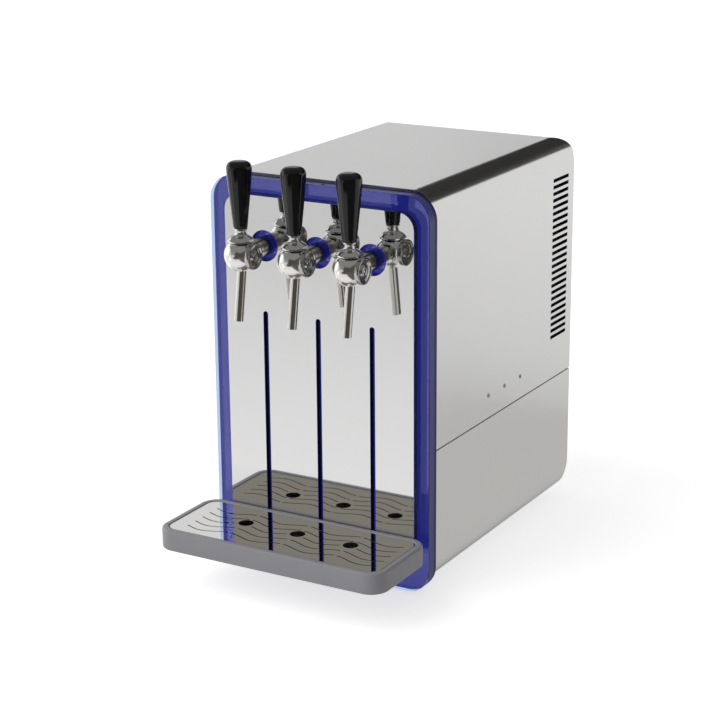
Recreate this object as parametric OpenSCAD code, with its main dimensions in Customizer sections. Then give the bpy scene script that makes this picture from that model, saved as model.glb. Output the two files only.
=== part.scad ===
// Counter-top beer cooler with three ball taps, a clear front panel and a drip tray.
// Millimetres, +Z up, +Y to the rear, origin under the middle of its footprint.

/* [Case] */
// Width of the sheet metal case
case_w = 294; // [280:1:320]
// Height of the case without its feet
case_h = 504; // [480:1:560]
// Depth of the case from the gasket to its rear face
case_d = 431; // [410:1:500]
// Thickness of the case sheet
sheet = 1.5; // [1:0.1:2]
// Outer radius of the long bends between top and sides
top_bend = 21; // [16:1:40]
// Outer radius of the rear top bend
rear_bend = 43; // [36:1:60]
// Outer radius of the rear bottom bend
base_bend = 28; // [15:1:40]
// Height of the base tub, up to the seam
tub_h = 164; // [158:1:190]
// Open seam between tub and hood
seam_gap = 2; // [1:0.5:3]
// Distance from the top down to the foot of the first louvre slot
louvre_drop = 57; // [50:0.5:60]
// Distance from the rear face to the louvres
louvre_inset = 18; // [12:1:40]
// Number of louvre slots
louvre_count = 25; // [10:1:26]
// Distance from one louvre slot to the next
louvre_pitch = 9.3; // [8:0.1:10]
// Height of one louvre slot
louvre_h = 5; // [3:0.5:6]
// Length of one louvre slot
louvre_l = 50; // [20:1:60]
// Height of the feet
foot_h = 20; // [16:1:30]
// Radius of a foot
foot_r = 18; // [12:0.5:24]
// Distance from the case edge to a foot's axis
foot_inset = 50; // [40:1:70]

/* [Front panel] */
// Width of the clear panel
panel_w = 318; // [308:1:340]
// Height of the clear panel
panel_h = 517; // [500:1:540]
// Thickness of the clear panel
panel_t = 14; // [8:0.5:18]
// Corner radius of the clear panel
panel_r = 33; // [15:1:45]
// Gap between the counter and the clear panel
panel_lift = 4; // [3:0.5:8]
// Thickness of the blue film
film_t = 1; // [0.5:0.1:2]
// Thickness of the gasket
gasket_t = 5; // [3:0.5:8]
// Width of the mirror plate
mirror_w = 273; // [262:1:280]
// Thickness of the mirror sheet
mirror_t = 1.5; // [1:0.1:3]
// Thickness of the black plate behind the mirror sheet
backing_t = 7.5; // [7:0.5:9]
// Corner radius of the mirror plate
mirror_r = 22; // [8:1:40]
// Blue margin above the mirror plate
mirror_margin = 20; // [10:1:40]
// Width of the upright slots
slot_w = 7.3; // [6.5:0.1:9]
// Distance from the taps' axis down to the top of a slot
slot_drop = 85.5; // [75:0.5:110]

/* [Taps] */
// Distance between two taps
tap_pitch = 78; // [74:1:84]
// Distance of the middle tap to the right of the case's middle
tap_shift = 5.5; // [0:0.5:8]
// Height of the taps' axis above the counter
tap_height = 437.5; // [425:0.5:450]
// Distance from the mirror to the middle of a ball
tap_reach = 53; // [48:0.5:65]
// Radius of a ball
ball_r = 21.3; // [20:0.1:23]
// Radius of the sleeve behind a ball
sleeve_r = 12.5; // [11:0.1:13]
// Radius of the hole in the mirror plate round a sleeve
ring_r = 20.3; // [16:0.1:23]
// Radius of the thread through the panel
thread_r = 11; // [9.5:0.1:11.4]
// Radius of the beer bore
beer_r = 4; // [3:0.1:4.5]
// Radius of the spout tube
spout_r = 6; // [5.2:0.1:6.5]
// Length of the spout below the ball's middle
spout_l = 84; // [70:1:100]
// Forward tilt of the spout in degrees
spout_tilt = 9; // [5:0.5:11]
// Length of a handle
handle_l = 84; // [70:1:110]
// Largest radius of a handle
handle_r = 16; // [13:0.5:18]
// Radius of a handle at its foot
handle_foot_r = 9.6; // [9.2:0.1:12]
// Radius of the flow knob
knob_r = 17; // [15:0.1:17.5]

/* [Drip tray] */
// Width of the tray
tray_w = 330; // [300:1:340]
// Distance from the mirror to the tray's front
tray_reach = 130; // [110:1:160]
// Height of the tray
tray_h = 28; // [24:0.5:34]
// Height of the tray's underside above the counter
tray_lift = 55.5; // [45:0.5:60]
// Corner radius of the tray
tray_r = 24; // [14:1:36]
// Wall of the tray
tray_wall = 3; // [2.5:0.5:5]
// Width of the tray's rim
rim_w = 9; // [7:0.5:12]
// Thickness of the grille
grille_t = 1.5; // [1:0.1:3]
// Radius of a hole in the grille
drain_r = 10; // [6:0.5:13]
// Distance from the mirror to the middle of a hole
drain_reach = 57.5; // [45:0.5:70]
// Width of a wavy slit
slit_w = 1.8; // [1:0.1:3]
// Swing of a wavy slit from its rearmost to its foremost point
wave_swing = 10.6; // [4:0.1:12]
// Distance from one row of slits to the next
slit_pitch = 16.8; // [15:0.1:18]

/* [Cooling parts] */
// Radius of the compressor
compressor_r = 58; // [45:1:62]
// Height of the compressor's shell
compressor_h = 118; // [90:1:122]
// Share of the case's width that the condenser takes
condenser_share = 0.65; // [0.6:0.01:0.68]
// Distance from the fan's tips to the side of the condenser
fan_margin = 18; // [12:1:36]
// Depth of the condenser
condenser_d = 36; // [25:1:45]
// Distance from the case's side to the cooling block
block_side = 61.5; // [57:0.5:70]
// Height of the cooling block
block_h = 150; // [130:1:155]
// Depth of the cooling block
block_d = 60; // [50:1:70]
// Thickness of the insulation
foam_t = 15; // [10:1:18]
// Radius of a beer line
line_r = 4; // [3:0.1:4.5]
// Length of the tube stubs behind the case
stub_l = 30; // [22:1:40]

/* [Hidden] */
$fn = 64;

// One overrun for every cut, and the gaps that pieces keep.
over = 2;
gap = 0.3;
run = 0.05;
fit = 0.1;

// Places along the depth, from the tray's front to the tube stubs.
left = -1;
middle = 0;
right = 1;
overall_d = tray_reach + mirror_t + backing_t + panel_t + film_t + gasket_t + case_d + stub_l;
mirror_y = tray_reach - overall_d / 2;
backing_y = mirror_y + mirror_t;
panel_y = backing_y + backing_t;
film_y = panel_y + panel_t;
gasket_y = film_y + film_t;
case_y = gasket_y + gasket_t;
back_y = case_y + case_d;

// Places along the height.
floor_z = foot_h;
seam_z = floor_z + tub_h;
hood_z = seam_z + seam_gap;
top_z = floor_z + case_h;
panel_top = panel_lift + panel_h;
mirror_top = panel_top - mirror_margin;
tap_y = mirror_y - tap_reach;
slot_top = tap_height - slot_drop;

// Inner sheet metal.
inner_w = case_w - 2 * sheet;
bulkhead_t = 2;
bulkhead_y = case_y;
bulkhead_back = bulkhead_y + bulkhead_t;
deck_t = 1.5;
deck_z = seam_z;
deck_top = deck_z + deck_t;
deck_flange = 42;
lip_w = 14;
lip_z = seam_z - sheet;
lip_end = 40;

// Screws and small hardware.
cover_screw_r = 3.2;
cover_screw_shaft = 1.8;
cover_screw_l = 8;
cover_screw_rise = 32.5;
cover_screw_reach = 218;
cover_screw_z = seam_z + cover_screw_rise;
cover_screw_y = case_y + cover_screw_reach;
cover_screw_pitch = 48.5;
panel_screw_r = 2.6;
panel_screw_l = 12;

// Rear panel, with rows of vents and the hose stubs.
rear_side = 23.5;
rear_w = case_w - 2 * rear_side;
rear_h = 262;
rear_foot = 14;
rear_z = seam_z + rear_foot;
rear_r = 8;
rear_overlap = 8;
vent_rows = 15;
vent_side = 53;
vent_w = rear_w - 2 * vent_side;
vent_h = 4;
vent_pitch = 10;
vent_foot = 60;
vent_z = rear_z + vent_foot;

// Tap details.
neck_l = 33;
lip_out = 0.7;
lip_r = sleeve_r + lip_out;
lip_y = 16;
lip_l = 2;
cavity_r = 9;
cavity_top = 10;
cavity_foot = 12;
plunger_r = 6;
plunger_front = 9.5;
plunger_l = 20;
pin_r = 2;
hub_r = 3;
finger_r = 1.2;
finger_l = 5.6;
tail_w = 5;
tail_top = -3.4;
tail_foot = -5.4;
tail_front = -4;
finger_play = 1;
finger_travel = 1.6;
tail_slot_w = 2 * finger_r + finger_play;
tail_slot_l = 2 * finger_r + finger_travel;
stem_r = 3;
stem_slot_w = 2 * stem_r + finger_play;
stem_slot_front_share = 0.68;
stem_slot_share = 1.06;
skirt_gap = 0.6;
skirt_t = 2.4;
skirt_angle = 34;
neck_z = 34.7;
neck_top_r = 9;
collar_h = 2.2;
stud_r = 4;
stud_l = 20;
flat_x = 15;
knob_gap = 0.4;
knob_t = 6;
knob_rim = 2.4;
knob_dish = 2.4;
spindle_r = 4;
spindle_x = 12.6;
wall_pin = 16;
nut_r = 19;
nut_t = 9;
thread_end = 8.5;
handle_head_share = 0.45;
handle_taper_share = 0.8;
handle_top_share = 0.66;
spout_wall = 1.2;
spout_seat = 15;
spout_back = 4;

// Tray and grille.
tray_front = mirror_y - tray_reach;
tray_back = mirror_y - gap;
tray_top = tray_lift + tray_h;
grille_drop = 0.9;
grille_top = tray_top - grille_drop;
grille_z = grille_top - grille_t;
ledge_w = 4;
ledge_h = 2.5;
grille_gap = 1;
grille_front = tray_front + rim_w;
grille_back = tray_back - rim_w;
drain_y = mirror_y - drain_reach;
tray_stud_r = 2.6;
tray_stud_head = 5.6;
tray_stud_head_t = 3;
tray_stud_nut = 5;
tray_stud_nut_t = 3;
tray_stud_z = tray_lift + tray_h / 2;
channel_r = tray_stud_head + 2 * gap;
channel_d = 4.5;
slot_foot = tray_stud_z - channel_r;
slot_foot_wall = 4;
mirror_foot = slot_foot - slot_foot_wall;

// Wavy slits of the grille: rows, the solid metal left between them, and where they end.
slit_rows = 5;
slit_shift = 2;
slit_rest = 4.5;
slit_end = 62;
slit_points = 13;

// Cooling parts.
block_w = case_w - 2 * block_side;
block_z = deck_top + foam_t;
block_gap = 14;
block_y = bulkhead_back + block_gap + foam_t;
foam_y = block_y - foam_t;
foam_back = block_y + block_d + foam_t;
foam_top = block_z + block_h + foam_t;
line_dip = 30;
line_lead = 34;
line_side = 26;
line_shift = 4.4;
line_foot_z = block_z + block_h - line_dip;
line_turn_y = bulkhead_back + line_lead;
mount_h = 8;
mount_r = 7;
compressor_z = floor_z + sheet + mount_h;
compressor_reach = 290;
compressor_y = case_y + compressor_reach;
compressor_x = -40;
compressor_plate = 3;
compressor_plate_rim = 12;
compressor_plate_w = 2 * (compressor_r + compressor_plate_rim);
condenser_size = case_w * condenser_share;
condenser_y = back_y - sheet - sheet - gap - condenser_d;
condenser_z = deck_top;
fin_count = 24;
fin_t = 0.8;
coil_r = 4;
coil_rows = 6;
header_t = 1.5;
shroud_t = 1.5;
shroud_d = 22;
shroud_y = condenser_y - shroud_d;
fan_r = condenser_size / 2 - fan_margin;
fan_x = 0;
fan_z = condenser_z + condenser_size / 2;
blade_count = 5;
blade_t = 1.6;
blade_w = 32;
blade_tilt = 30;
fan_hub_r = 22;
fan_hub_l = 16;
fan_gap = 3;
fan_y = shroud_y + fan_gap;
motor_r = 30;
motor_l = 44;
motor_gap = 4;
motor_y = fan_y - motor_gap - motor_l;
shaft_r = 3;
arm_w = 10;
arm_t = 2;
drier_r = 9;
drier_l = 70;
drier_side = 27.5;
drier_x = case_w / 2 - drier_side;
drier_lead = 30;
drier_lift = 26;
drier_y = compressor_y - drier_lead;
drier_z = deck_top + drier_lift;
pipe_r = 3;
elbow_share = 1.2;
pipe_lead = 12;
suction_side = 20;
suction_lead = 39;
riser_x = compressor_x + compressor_r + pipe_lead;
side_x = condenser_size / 2 + pipe_lead;
suction_x = compressor_x - suction_side;
suction_y = compressor_y - suction_lead;
compressor_top = compressor_z + compressor_plate + compressor_h;
compressor_cap = 8;
foam_right = tap_shift + block_w / 2 + foam_t;

// Controls in the tub's rear wall.
inlet_w = 30;
inlet_h = 23;
inlet_d = 24;
inlet_side = 56.5;
inlet_x = case_w / 2 - inlet_side;
inlet_rise = 92;
inlet_z = floor_z + inlet_rise;
inlet_flange = 5;
inlet_flange_t = 2;
inlet_wall = 3;
contact_w = 2;
contact_h = 4;
contact_l = 15;
contact_pitch = 7;
switch_w = 22;
switch_h = 15;
switch_d = 18;
switch_x = inlet_x;
switch_rise = 128;
switch_z = floor_z + switch_rise;
switch_flange = 2.5;
rocker_h = 12;
rocker_w = 14;
rocker_out = 2;
rocker_in = 4;
rocker_pin_r = 1;
rocker_pin_l = 1.5;
rocker_gap = 1;
rocker_crest_share = 1.6;
dial_side = 55;
dial_x = inlet_x - dial_side;
dial_rise = 115;
dial_z = floor_z + dial_rise;
dial_r = 16;
dial_l = 12;
dial_shaft_r = 3;
dial_nut_r = 7;
dial_cap_share = 0.7;
dial_rib_share = 0.6;
thermostat_w = 36;
thermostat_h = 30;
thermostat_d = 20;
stub_r = 4.76;
stub_nut_r = 9;
stub_nut_l = 8;
stub_drop = 34;
stub_z = rear_z + rear_h - stub_drop;
stub_pitch = 40;

function tap_x(side) = tap_shift + side * tap_pitch;
function wave(x) = wave_swing / 2 * cos(360 * x / tap_pitch);
function line_x(side) = line_shift + side * (block_w / 2 - line_side);

// Sets a drawing on its edge: its x runs along Y, its y along Z, its depth along X.
module along_x(length) {
  rotate([90, 0, 90])
    linear_extrude(length)
      children();
}

// Sets a drawing upright across the case: its x runs along X, its y along Z, its depth along Y.
module along_y(length) {
  translate([0, length, 0])
    rotate([90, 0, 0])
      linear_extrude(length)
        children();
}

// Cylinder along the depth, from its front face to the rear.
module rod_y(radius, length) {
  rotate([-90, 0, 0])
    cylinder(r = radius, h = length);
}

// Cylinder across the case, from its left face to the right.
module rod_x(radius, length) {
  rotate([0, 90, 0])
    cylinder(r = radius, h = length);
}

// Rectangle with round corners, from its lower left corner.
module soft_rect(width, height, radius) {
  translate([radius, 0])
    square([width - 2 * radius, height]);
  translate([0, radius])
    square([width, height - 2 * radius]);
  for (x = [radius, width - radius])
    for (y = [radius, height - radius])
      translate([x, y])
        circle(r = radius);
}

// Centred rectangle that stands on its baseline.
module soft_plate(width, foot, head, radius) {
  translate([-width / 2, foot])
    soft_rect(width, head - foot, radius);
}

// Sheet outline with its two upper corners round.
module arch(width, foot, head, radius) {
  translate([-width / 2, foot])
    square([width, head - foot - radius]);
  translate([radius - width / 2, foot])
    square([width - 2 * radius, head - foot]);
  for (side = [left, right])
    translate([side * (width / 2 - radius), head - radius])
      circle(r = radius);
}

// Case solid over its whole depth: the long bends meet the rear bend.
module hood_block(inset) {
  wide = case_w - 2 * inset;
  intersection() {
    translate([0, case_y - over * (inset > 0 ? 1 : 0), 0])
      along_y(case_d - inset + over * (inset > 0 ? 1 : 0))
        arch(wide, hood_z - (inset > 0 ? over : 0), top_z - inset, top_bend - inset);
    translate([-wide / 2 - over, 0, 0])
      along_x(wide + 2 * over)
        union() {
          translate([case_y - 2 * over, hood_z - 2 * over])
            square([case_d - rear_bend + 2 * over, top_z - inset - hood_z + 2 * over]);
          translate([case_y - 2 * over, hood_z - 2 * over])
            square([case_d - inset + 2 * over, top_z - rear_bend - hood_z + 2 * over]);
          translate([back_y - rear_bend, top_z - rear_bend])
            circle(r = rear_bend - inset);
        }
  }
}

module cover_screw_places() {
  for (side = [left, right])
    for (i = [-1:1])
      translate([side * case_w / 2, cover_screw_y + i * cover_screw_pitch, cover_screw_z])
        rotate([0, side * 90, 0])
          children();
}

module hood() {
  color([0.76, 0.76, 0.76])
    difference() {
      hood_block(0);
      hood_block(sheet);
      for (i = [0:louvre_count - 1])
        translate([-case_w / 2 - over, back_y - louvre_inset - louvre_l, top_z - louvre_drop - i * louvre_pitch])
          cube([case_w + 2 * over, louvre_l, louvre_h]);
      translate([0, back_y - sheet - over, 0])
        along_y(sheet + 2 * over)
          soft_plate(rear_w - 2 * rear_overlap, rear_z + rear_overlap, rear_z + rear_h - rear_overlap, rear_r);
      cover_screw_places()
        translate([0, 0, -sheet - over])
          cylinder(r = cover_screw_shaft + fit, h = sheet + 2 * over);
    }
}

// Side outline of the tub: open at the front and the top, round at the rear below.
module tub_outline(inset) {
  low = floor_z + inset;
  head = seam_z + (inset > 0 ? over : 0);
  front = case_y - (inset > 0 ? over : 0);
  rear = back_y - inset;
  bend = base_bend - inset;
  translate([front, low])
    square([rear - bend - front, head - low]);
  translate([front, low + bend])
    square([rear - front, head - low - bend]);
  translate([rear - bend, low + bend])
    circle(r = bend);
}

module base_tub() {
  color([0.72, 0.72, 0.71])
    difference() {
      union() {
        difference() {
          translate([-case_w / 2, 0, 0])
            along_x(case_w)
              tub_outline(0);
          translate([-inner_w / 2, 0, 0])
            along_x(inner_w)
              tub_outline(sheet);
        }
        for (side = [left, right])
          translate([side * (inner_w - lip_w + sheet) / 2 - (lip_w + sheet) / 2, case_y + lip_end, lip_z])
            cube([lip_w + sheet, case_d - 2 * lip_end, sheet]);
      }
      foot_places()
        translate([0, 0, -over])
          cylinder(r = cover_screw_shaft + fit, h = sheet + 2 * over);
      translate([inlet_x - inlet_w / 2, back_y - sheet - over, inlet_z - inlet_h / 2])
        cube([inlet_w, sheet + 2 * over, inlet_h]);
      translate([switch_x - switch_w / 2, back_y - sheet - over, switch_z - switch_h / 2])
        cube([switch_w, sheet + 2 * over, switch_h]);
      translate([dial_x, back_y - sheet - over, dial_z])
        rod_y(dial_nut_r, sheet + 2 * over);
    }
}

module foot_places() {
  for (side = [left, right])
    for (y = [case_y + foot_inset, back_y - foot_inset])
      translate([side * (case_w / 2 - foot_inset), y, floor_z])
        children();
}

// Rubber feet, each with the screw that holds it.
module feet() {
  color([0.08, 0.08, 0.08])
    foot_places() {
      translate([0, 0, -foot_h])
        cylinder(r = foot_r, h = foot_h);
      cylinder(r = cover_screw_shaft, h = sheet);
      translate([0, 0, sheet])
        cylinder(r = 2 * cover_screw_shaft, h = cover_screw_shaft);
    }
}

module rear_panel() {
  color([0.55, 0.55, 0.55])
    difference() {
      translate([0, back_y - 2 * sheet, 0])
        along_y(sheet)
          soft_plate(rear_w, rear_z, rear_z + rear_h, rear_r);
      for (i = [0:vent_rows - 1])
        translate([-vent_w / 2, back_y - 2 * sheet - over, vent_z + i * vent_pitch])
          cube([vent_w, sheet + 2 * over, vent_h]);
      for (side = [left, middle, right])
        translate([side * stub_pitch, back_y - 2 * sheet - over, stub_z])
          rod_y(stub_r + fit, sheet + 2 * over);
    }
}

// Shelf on the tub's lips, with upright flanges that take the hood's screws.
module deck_plate() {
  deck_w = inner_w - 2 * gap;
  deck_y = bulkhead_back;
  deck_d = back_y - 2 * sheet - 2 * gap - deck_y;
  color([0.6, 0.6, 0.6])
    difference() {
      union() {
        translate([-deck_w / 2, deck_y, deck_z])
          cube([deck_w, deck_d, deck_t]);
        for (side = [left, right])
          translate([side * (deck_w - deck_t) / 2 - deck_t / 2, deck_y, deck_z])
            cube([deck_t, deck_d, deck_flange]);
      }
      cover_screw_places()
        translate([0, 0, -sheet - gap - deck_t - over])
          cylinder(r = cover_screw_shaft + fit, h = deck_t + 2 * over);
      for (place = [[riser_x, compressor_y], [suction_x, suction_y]])
        translate([place[0], place[1], deck_z - over])
          cylinder(r = 2 * pipe_r, h = deck_t + 2 * over);
    }
}

// Screws with flat heads on both sides of the hood.
module cover_screws() {
  color([0.5, 0.5, 0.5])
    cover_screw_places() {
      cylinder(r = cover_screw_r, h = cover_screw_shaft / 2);
      translate([0, 0, -cover_screw_l])
        cylinder(r = cover_screw_shaft, h = cover_screw_l);
    }
}

// Steel plate inside the front, which carries the taps and the clear panel.
module front_bulkhead() {
  color([0.6, 0.6, 0.6])
    difference() {
      translate([0, bulkhead_y, 0])
        along_y(bulkhead_t)
          arch(inner_w - 2 * gap, floor_z + sheet, top_z - sheet - gap, top_bend);
      for (side = [left, middle, right])
        translate([tap_x(side), bulkhead_y - over, tap_height])
          rod_y(thread_r + fit, bulkhead_t + 2 * over);
    }
}

// Flat sheet in the outline of the clear panel.
module panel_sheet(y, thick, inset) {
  difference() {
    translate([0, y, 0])
      along_y(thick)
        soft_plate(panel_w - 2 * inset, panel_lift + inset, panel_top - inset, panel_r - inset);
    for (side = [left, middle, right])
      translate([tap_x(side), y - over, tap_height])
        rod_y(thread_r + fit, thick + 2 * over);
  }
}

module clear_panel() {
  color([0.75, 0.82, 0.95, 0.5])
    difference() {
      panel_sheet(panel_y, panel_t, 0);
      translate([tap_shift, panel_y + panel_t / 2, panel_top - panel_screw_l])
        cylinder(r = panel_screw_r / 2 + fit, h = panel_screw_l + over);
    }
}

module blue_film() {
  color([0.2, 0.22, 0.55])
    panel_sheet(film_y, film_t, 0);
}

module panel_gasket() {
  color([0.06, 0.06, 0.06])
    panel_sheet(gasket_y, gasket_t, gap);
}

module panel_screw() {
  color([0.3, 0.3, 0.32])
    translate([tap_shift, panel_y + panel_t / 2, panel_top - panel_screw_l]) {
      cylinder(r = panel_screw_r / 2, h = panel_screw_l);
      translate([0, 0, panel_screw_l])
        cylinder(r = panel_screw_r, h = panel_screw_r / 2);
    }
}

// Mirror outline with its slots and round holes.
module mirror_outline(slot) {
  difference() {
    translate([tap_shift, 0])
      soft_plate(mirror_w, mirror_foot, mirror_top, mirror_r);
    for (side = [left, middle, right]) {
      translate([tap_x(side), tap_height])
        circle(r = ring_r);
      translate([tap_x(side), slot_top - slot])
        circle(r = slot);
      translate([tap_x(side) - slot, slot_foot])
        square([2 * slot, slot_top - slot - slot_foot]);
    }
  }
}

module mirror_plate() {
  color([0.9, 0.9, 0.92])
    translate([0, mirror_y, 0])
      along_y(mirror_t)
        mirror_outline(slot_w / 2);
}

// Black plate with wider channels in front, where the stud heads run.
module backing_plate() {
  color([0.05, 0.05, 0.05]) {
    translate([0, backing_y, 0])
      along_y(channel_d)
        mirror_outline(channel_r);
    translate([0, backing_y + channel_d, 0])
      along_y(backing_t - channel_d)
        mirror_outline(slot_w / 2);
  }
}

// Threaded tube through the panel, with a plain sleeve in front.
module shank(side) {
  front = tap_y + neck_l;
  color([0.66, 0.66, 0.66])
    translate([tap_x(side), 0, tap_height])
      difference() {
        union() {
          translate([0, front, 0])
            rod_y(sleeve_r, panel_y - front);
          translate([0, panel_y, 0])
            rod_y(thread_r, bulkhead_back + nut_t + thread_end - panel_y);
        }
        translate([0, front - over, 0])
          rod_y(beer_r, bulkhead_back + nut_t + thread_end + 2 * over - front);
      }
}

module shank_nut(side) {
  color([0.72, 0.62, 0.4])
    translate([tap_x(side), bulkhead_back, tap_height])
      difference() {
        rotate([-90, 0, 0])
          cylinder(r = nut_r, h = nut_t, $fn = 6);
        translate([0, -over, 0])
          rod_y(thread_r + run, nut_t + 2 * over);
      }
}

// Hollow ball with its neck, the pivot holes and the slot for the stem.
module tap_body(side) {
  color([0.7, 0.7, 0.7])
    translate([tap_x(side), tap_y, tap_height])
      difference() {
        union() {
          sphere(r = ball_r);
          rod_y(sleeve_r, neck_l);
          translate([0, lip_y, 0])
            rod_y(lip_r, lip_l);
        }
        translate([flat_x, -ball_r - over, -ball_r - over])
          cube([ball_r, 2 * ball_r + 2 * over, 2 * ball_r + 2 * over]);
        translate([0, 0, -cavity_foot])
          cylinder(r = cavity_r, h = cavity_foot + cavity_top);
        rod_y(plunger_r + run, neck_l + over);
        translate([-wall_pin, 0, 0])
          rod_x(pin_r + run, wall_pin + spindle_x);
        translate([spindle_x, 0, 0])
          rod_x(spindle_r + run, ball_r);
        translate([-stem_slot_w / 2, -ball_r * stem_slot_front_share, 0])
          cube([stem_slot_w, ball_r * stem_slot_share, ball_r + over]);
        translate([0, spout_back, 0])
          rotate([-spout_tilt, 0, 0]) {
            translate([0, 0, -ball_r - over])
              cylinder(r = spout_r, h = ball_r + over - spout_seat);
            translate([0, 0, -ball_r])
              cylinder(r = spout_r - spout_wall, h = ball_r - cavity_foot + over);
          }
      }
}

module spout(side) {
  color([0.68, 0.68, 0.68])
    translate([tap_x(side), tap_y + spout_back, tap_height])
      rotate([-spout_tilt, 0, 0])
        translate([0, 0, -spout_l])
          difference() {
            cylinder(r = spout_r, h = spout_l - spout_seat);
            translate([0, 0, -over])
              cylinder(r = spout_r - spout_wall, h = spout_l + over);
          }
}

// Valve plunger: a round piston, and a tail with a slot for the lever's finger.
module plunger(side) {
  color([0.85, 0.85, 0.85])
    translate([tap_x(side), tap_y, tap_height])
      difference() {
        union() {
          translate([0, plunger_front, 0])
            rod_y(plunger_r, plunger_l);
          translate([-tail_w / 2, tail_front, tail_foot])
            cube([tail_w, plunger_front - tail_front + over, tail_top - tail_foot]);
        }
        translate([-tail_slot_w / 2, -tail_slot_l / 2, tail_foot - over])
          cube([tail_slot_w, tail_slot_l, tail_top - tail_foot + 2 * over]);
      }
}

// Lever: pivot pin, finger, stem, round skirt over the ball, neck and stud.
module lever(side) {
  skirt_r = ball_r + skirt_gap;
  color([0.8, 0.8, 0.82])
    translate([tap_x(side), tap_y, tap_height]) {
      translate([-wall_pin + fit, 0, 0])
        rod_x(pin_r, wall_pin + spindle_x - 2 * fit);
      translate([-hub_r, 0, 0])
        rod_x(hub_r, 2 * hub_r);
      translate([0, 0, -finger_l])
        cylinder(r = finger_r, h = finger_l);
      cylinder(r = stem_r, h = skirt_r + skirt_t / 2);
      intersection() {
        difference() {
          sphere(r = skirt_r + skirt_t);
          sphere(r = skirt_r);
        }
        cylinder(r = (skirt_r + skirt_t) * sin(skirt_angle), h = skirt_r + skirt_t + over);
      }
      translate([0, 0, skirt_r + skirt_t / 2])
        cylinder(r = stem_r + handle_foot_r / 3, h = neck_z - skirt_r - skirt_t / 2);
      translate([0, 0, neck_z - collar_h])
        cylinder(r = neck_top_r, h = collar_h);
      translate([0, 0, neck_z])
        cylinder(r = stud_r, h = stud_l);
    }
}

// Tapered grip with a round head, screwed on the lever's stud.
module handle(side) {
  head = handle_l - handle_r * handle_head_share;
  taper = head * handle_taper_share;
  color([0.04, 0.04, 0.04])
    translate([tap_x(side), tap_y, tap_height + neck_z])
      difference() {
        union() {
          cylinder(r1 = handle_foot_r, r2 = handle_r, h = taper);
          translate([0, 0, taper])
            cylinder(r = handle_r, h = head - taper);
          translate([0, 0, head])
            cylinder(r1 = handle_r, r2 = handle_r * handle_top_share, h = handle_l - head);
        }
        translate([0, 0, -over])
          cylinder(r = stud_r + fit, h = stud_l + over + fit);
      }
}

// Round cap on the ball's right side: rim, dished face, middle stud and spindle.
module flow_knob(side) {
  color([0.85, 0.85, 0.87])
    translate([tap_x(side), tap_y, tap_height]) {
      difference() {
        translate([flat_x + knob_gap, 0, 0])
          rod_x(knob_r, knob_t);
        translate([flat_x + knob_gap + knob_t - knob_dish, 0, 0])
          rod_x(knob_r - knob_rim, knob_t);
      }
      translate([flat_x + knob_gap, 0, 0])
        rod_x(knob_r / 3, knob_t);
      translate([spindle_x + fit, 0, 0])
        rod_x(spindle_r, flat_x + knob_gap + knob_t / 2 - spindle_x);
    }
}

// Plan outline of the tray: round corners all round.
module tray_plan(inset) {
  translate([-tray_w / 2 + inset, tray_front + inset])
    soft_rect(tray_w - 2 * inset, tray_back - tray_front - 2 * inset, tray_r - inset);
}

module tray_stud_places() {
  for (side = [left, middle, right])
    translate([tap_x(side), 0, tray_stud_z])
      children();
}

module drip_tray() {
  ledge_foot = grille_z - ledge_h;
  color([0.45, 0.45, 0.46])
    difference() {
      translate([0, 0, tray_lift])
        linear_extrude(tray_h)
          tray_plan(0);
      translate([0, 0, tray_lift + tray_wall])
        linear_extrude(tray_h)
          tray_plan(rim_w + ledge_w);
      translate([0, 0, tray_lift + tray_wall])
        linear_extrude(ledge_foot - tray_lift - tray_wall)
          tray_plan(tray_wall);
      translate([0, 0, grille_z])
        linear_extrude(tray_h)
          tray_plan(rim_w);
      tray_stud_places()
        translate([0, tray_back - tray_wall - over, 0])
          rod_y(tray_stud_r + run, tray_wall + 2 * over);
    }
}

// Wavy slit between two places, both counted from a tap's axis.
module slit(start, end) {
  points = [for (i = [0:slit_points - 1]) start + (end - start) * i / (slit_points - 1)];
  back = [for (i = [0:slit_points - 1]) end + (start - end) * i / (slit_points - 1)];
  polygon(concat(
    [for (x = points) [x, wave(x) - slit_w / 2]],
    [for (x = back) [x, wave(x) + slit_w / 2]]
  ));
}

module drip_grille() {
  color([0.75, 0.74, 0.7])
    translate([0, 0, grille_z])
      linear_extrude(grille_t)
        difference() {
          tray_plan(rim_w + grille_gap);
          for (side = [left, middle, right])
            translate([tap_x(side), drain_y])
              circle(r = drain_r);
          for (row = [0:slit_rows - 1])
            slit_row(row);
        }
}

// Row of slits: each runs from tap to tap, and those beside a hole stop short of it.
module slit_row(row) {
  row_y = (grille_front + grille_back) / 2 - slit_shift + (row - (slit_rows - 1) / 2) * slit_pitch;
  at_hole = abs(row_y + wave_swing / 2 - drain_y) < drain_r;
  rest = slit_rest / 2 + (at_hole ? drain_r : 0);
  translate([tap_x(left), row_y])
    slit(-slit_end, -rest);
  for (side = [left, middle])
    translate([tap_x(side), row_y])
      slit(rest, tap_pitch - rest);
  translate([tap_x(right), row_y])
    slit(rest, slit_end);
}

// Studs that hang the tray in the slots: nut, shaft and a head behind the mirror.
module tray_studs() {
  color([0.6, 0.6, 0.6])
    tray_stud_places() {
      translate([0, tray_back - tray_wall - tray_stud_nut_t, 0])
        rod_y(tray_stud_nut, tray_stud_nut_t);
      translate([0, tray_back - tray_wall, 0])
        rod_y(tray_stud_r, backing_y + gap - tray_back + tray_wall + tray_stud_head_t);
      translate([0, backing_y + gap, 0])
        rod_y(tray_stud_head, tray_stud_head_t);
    }
}

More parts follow.
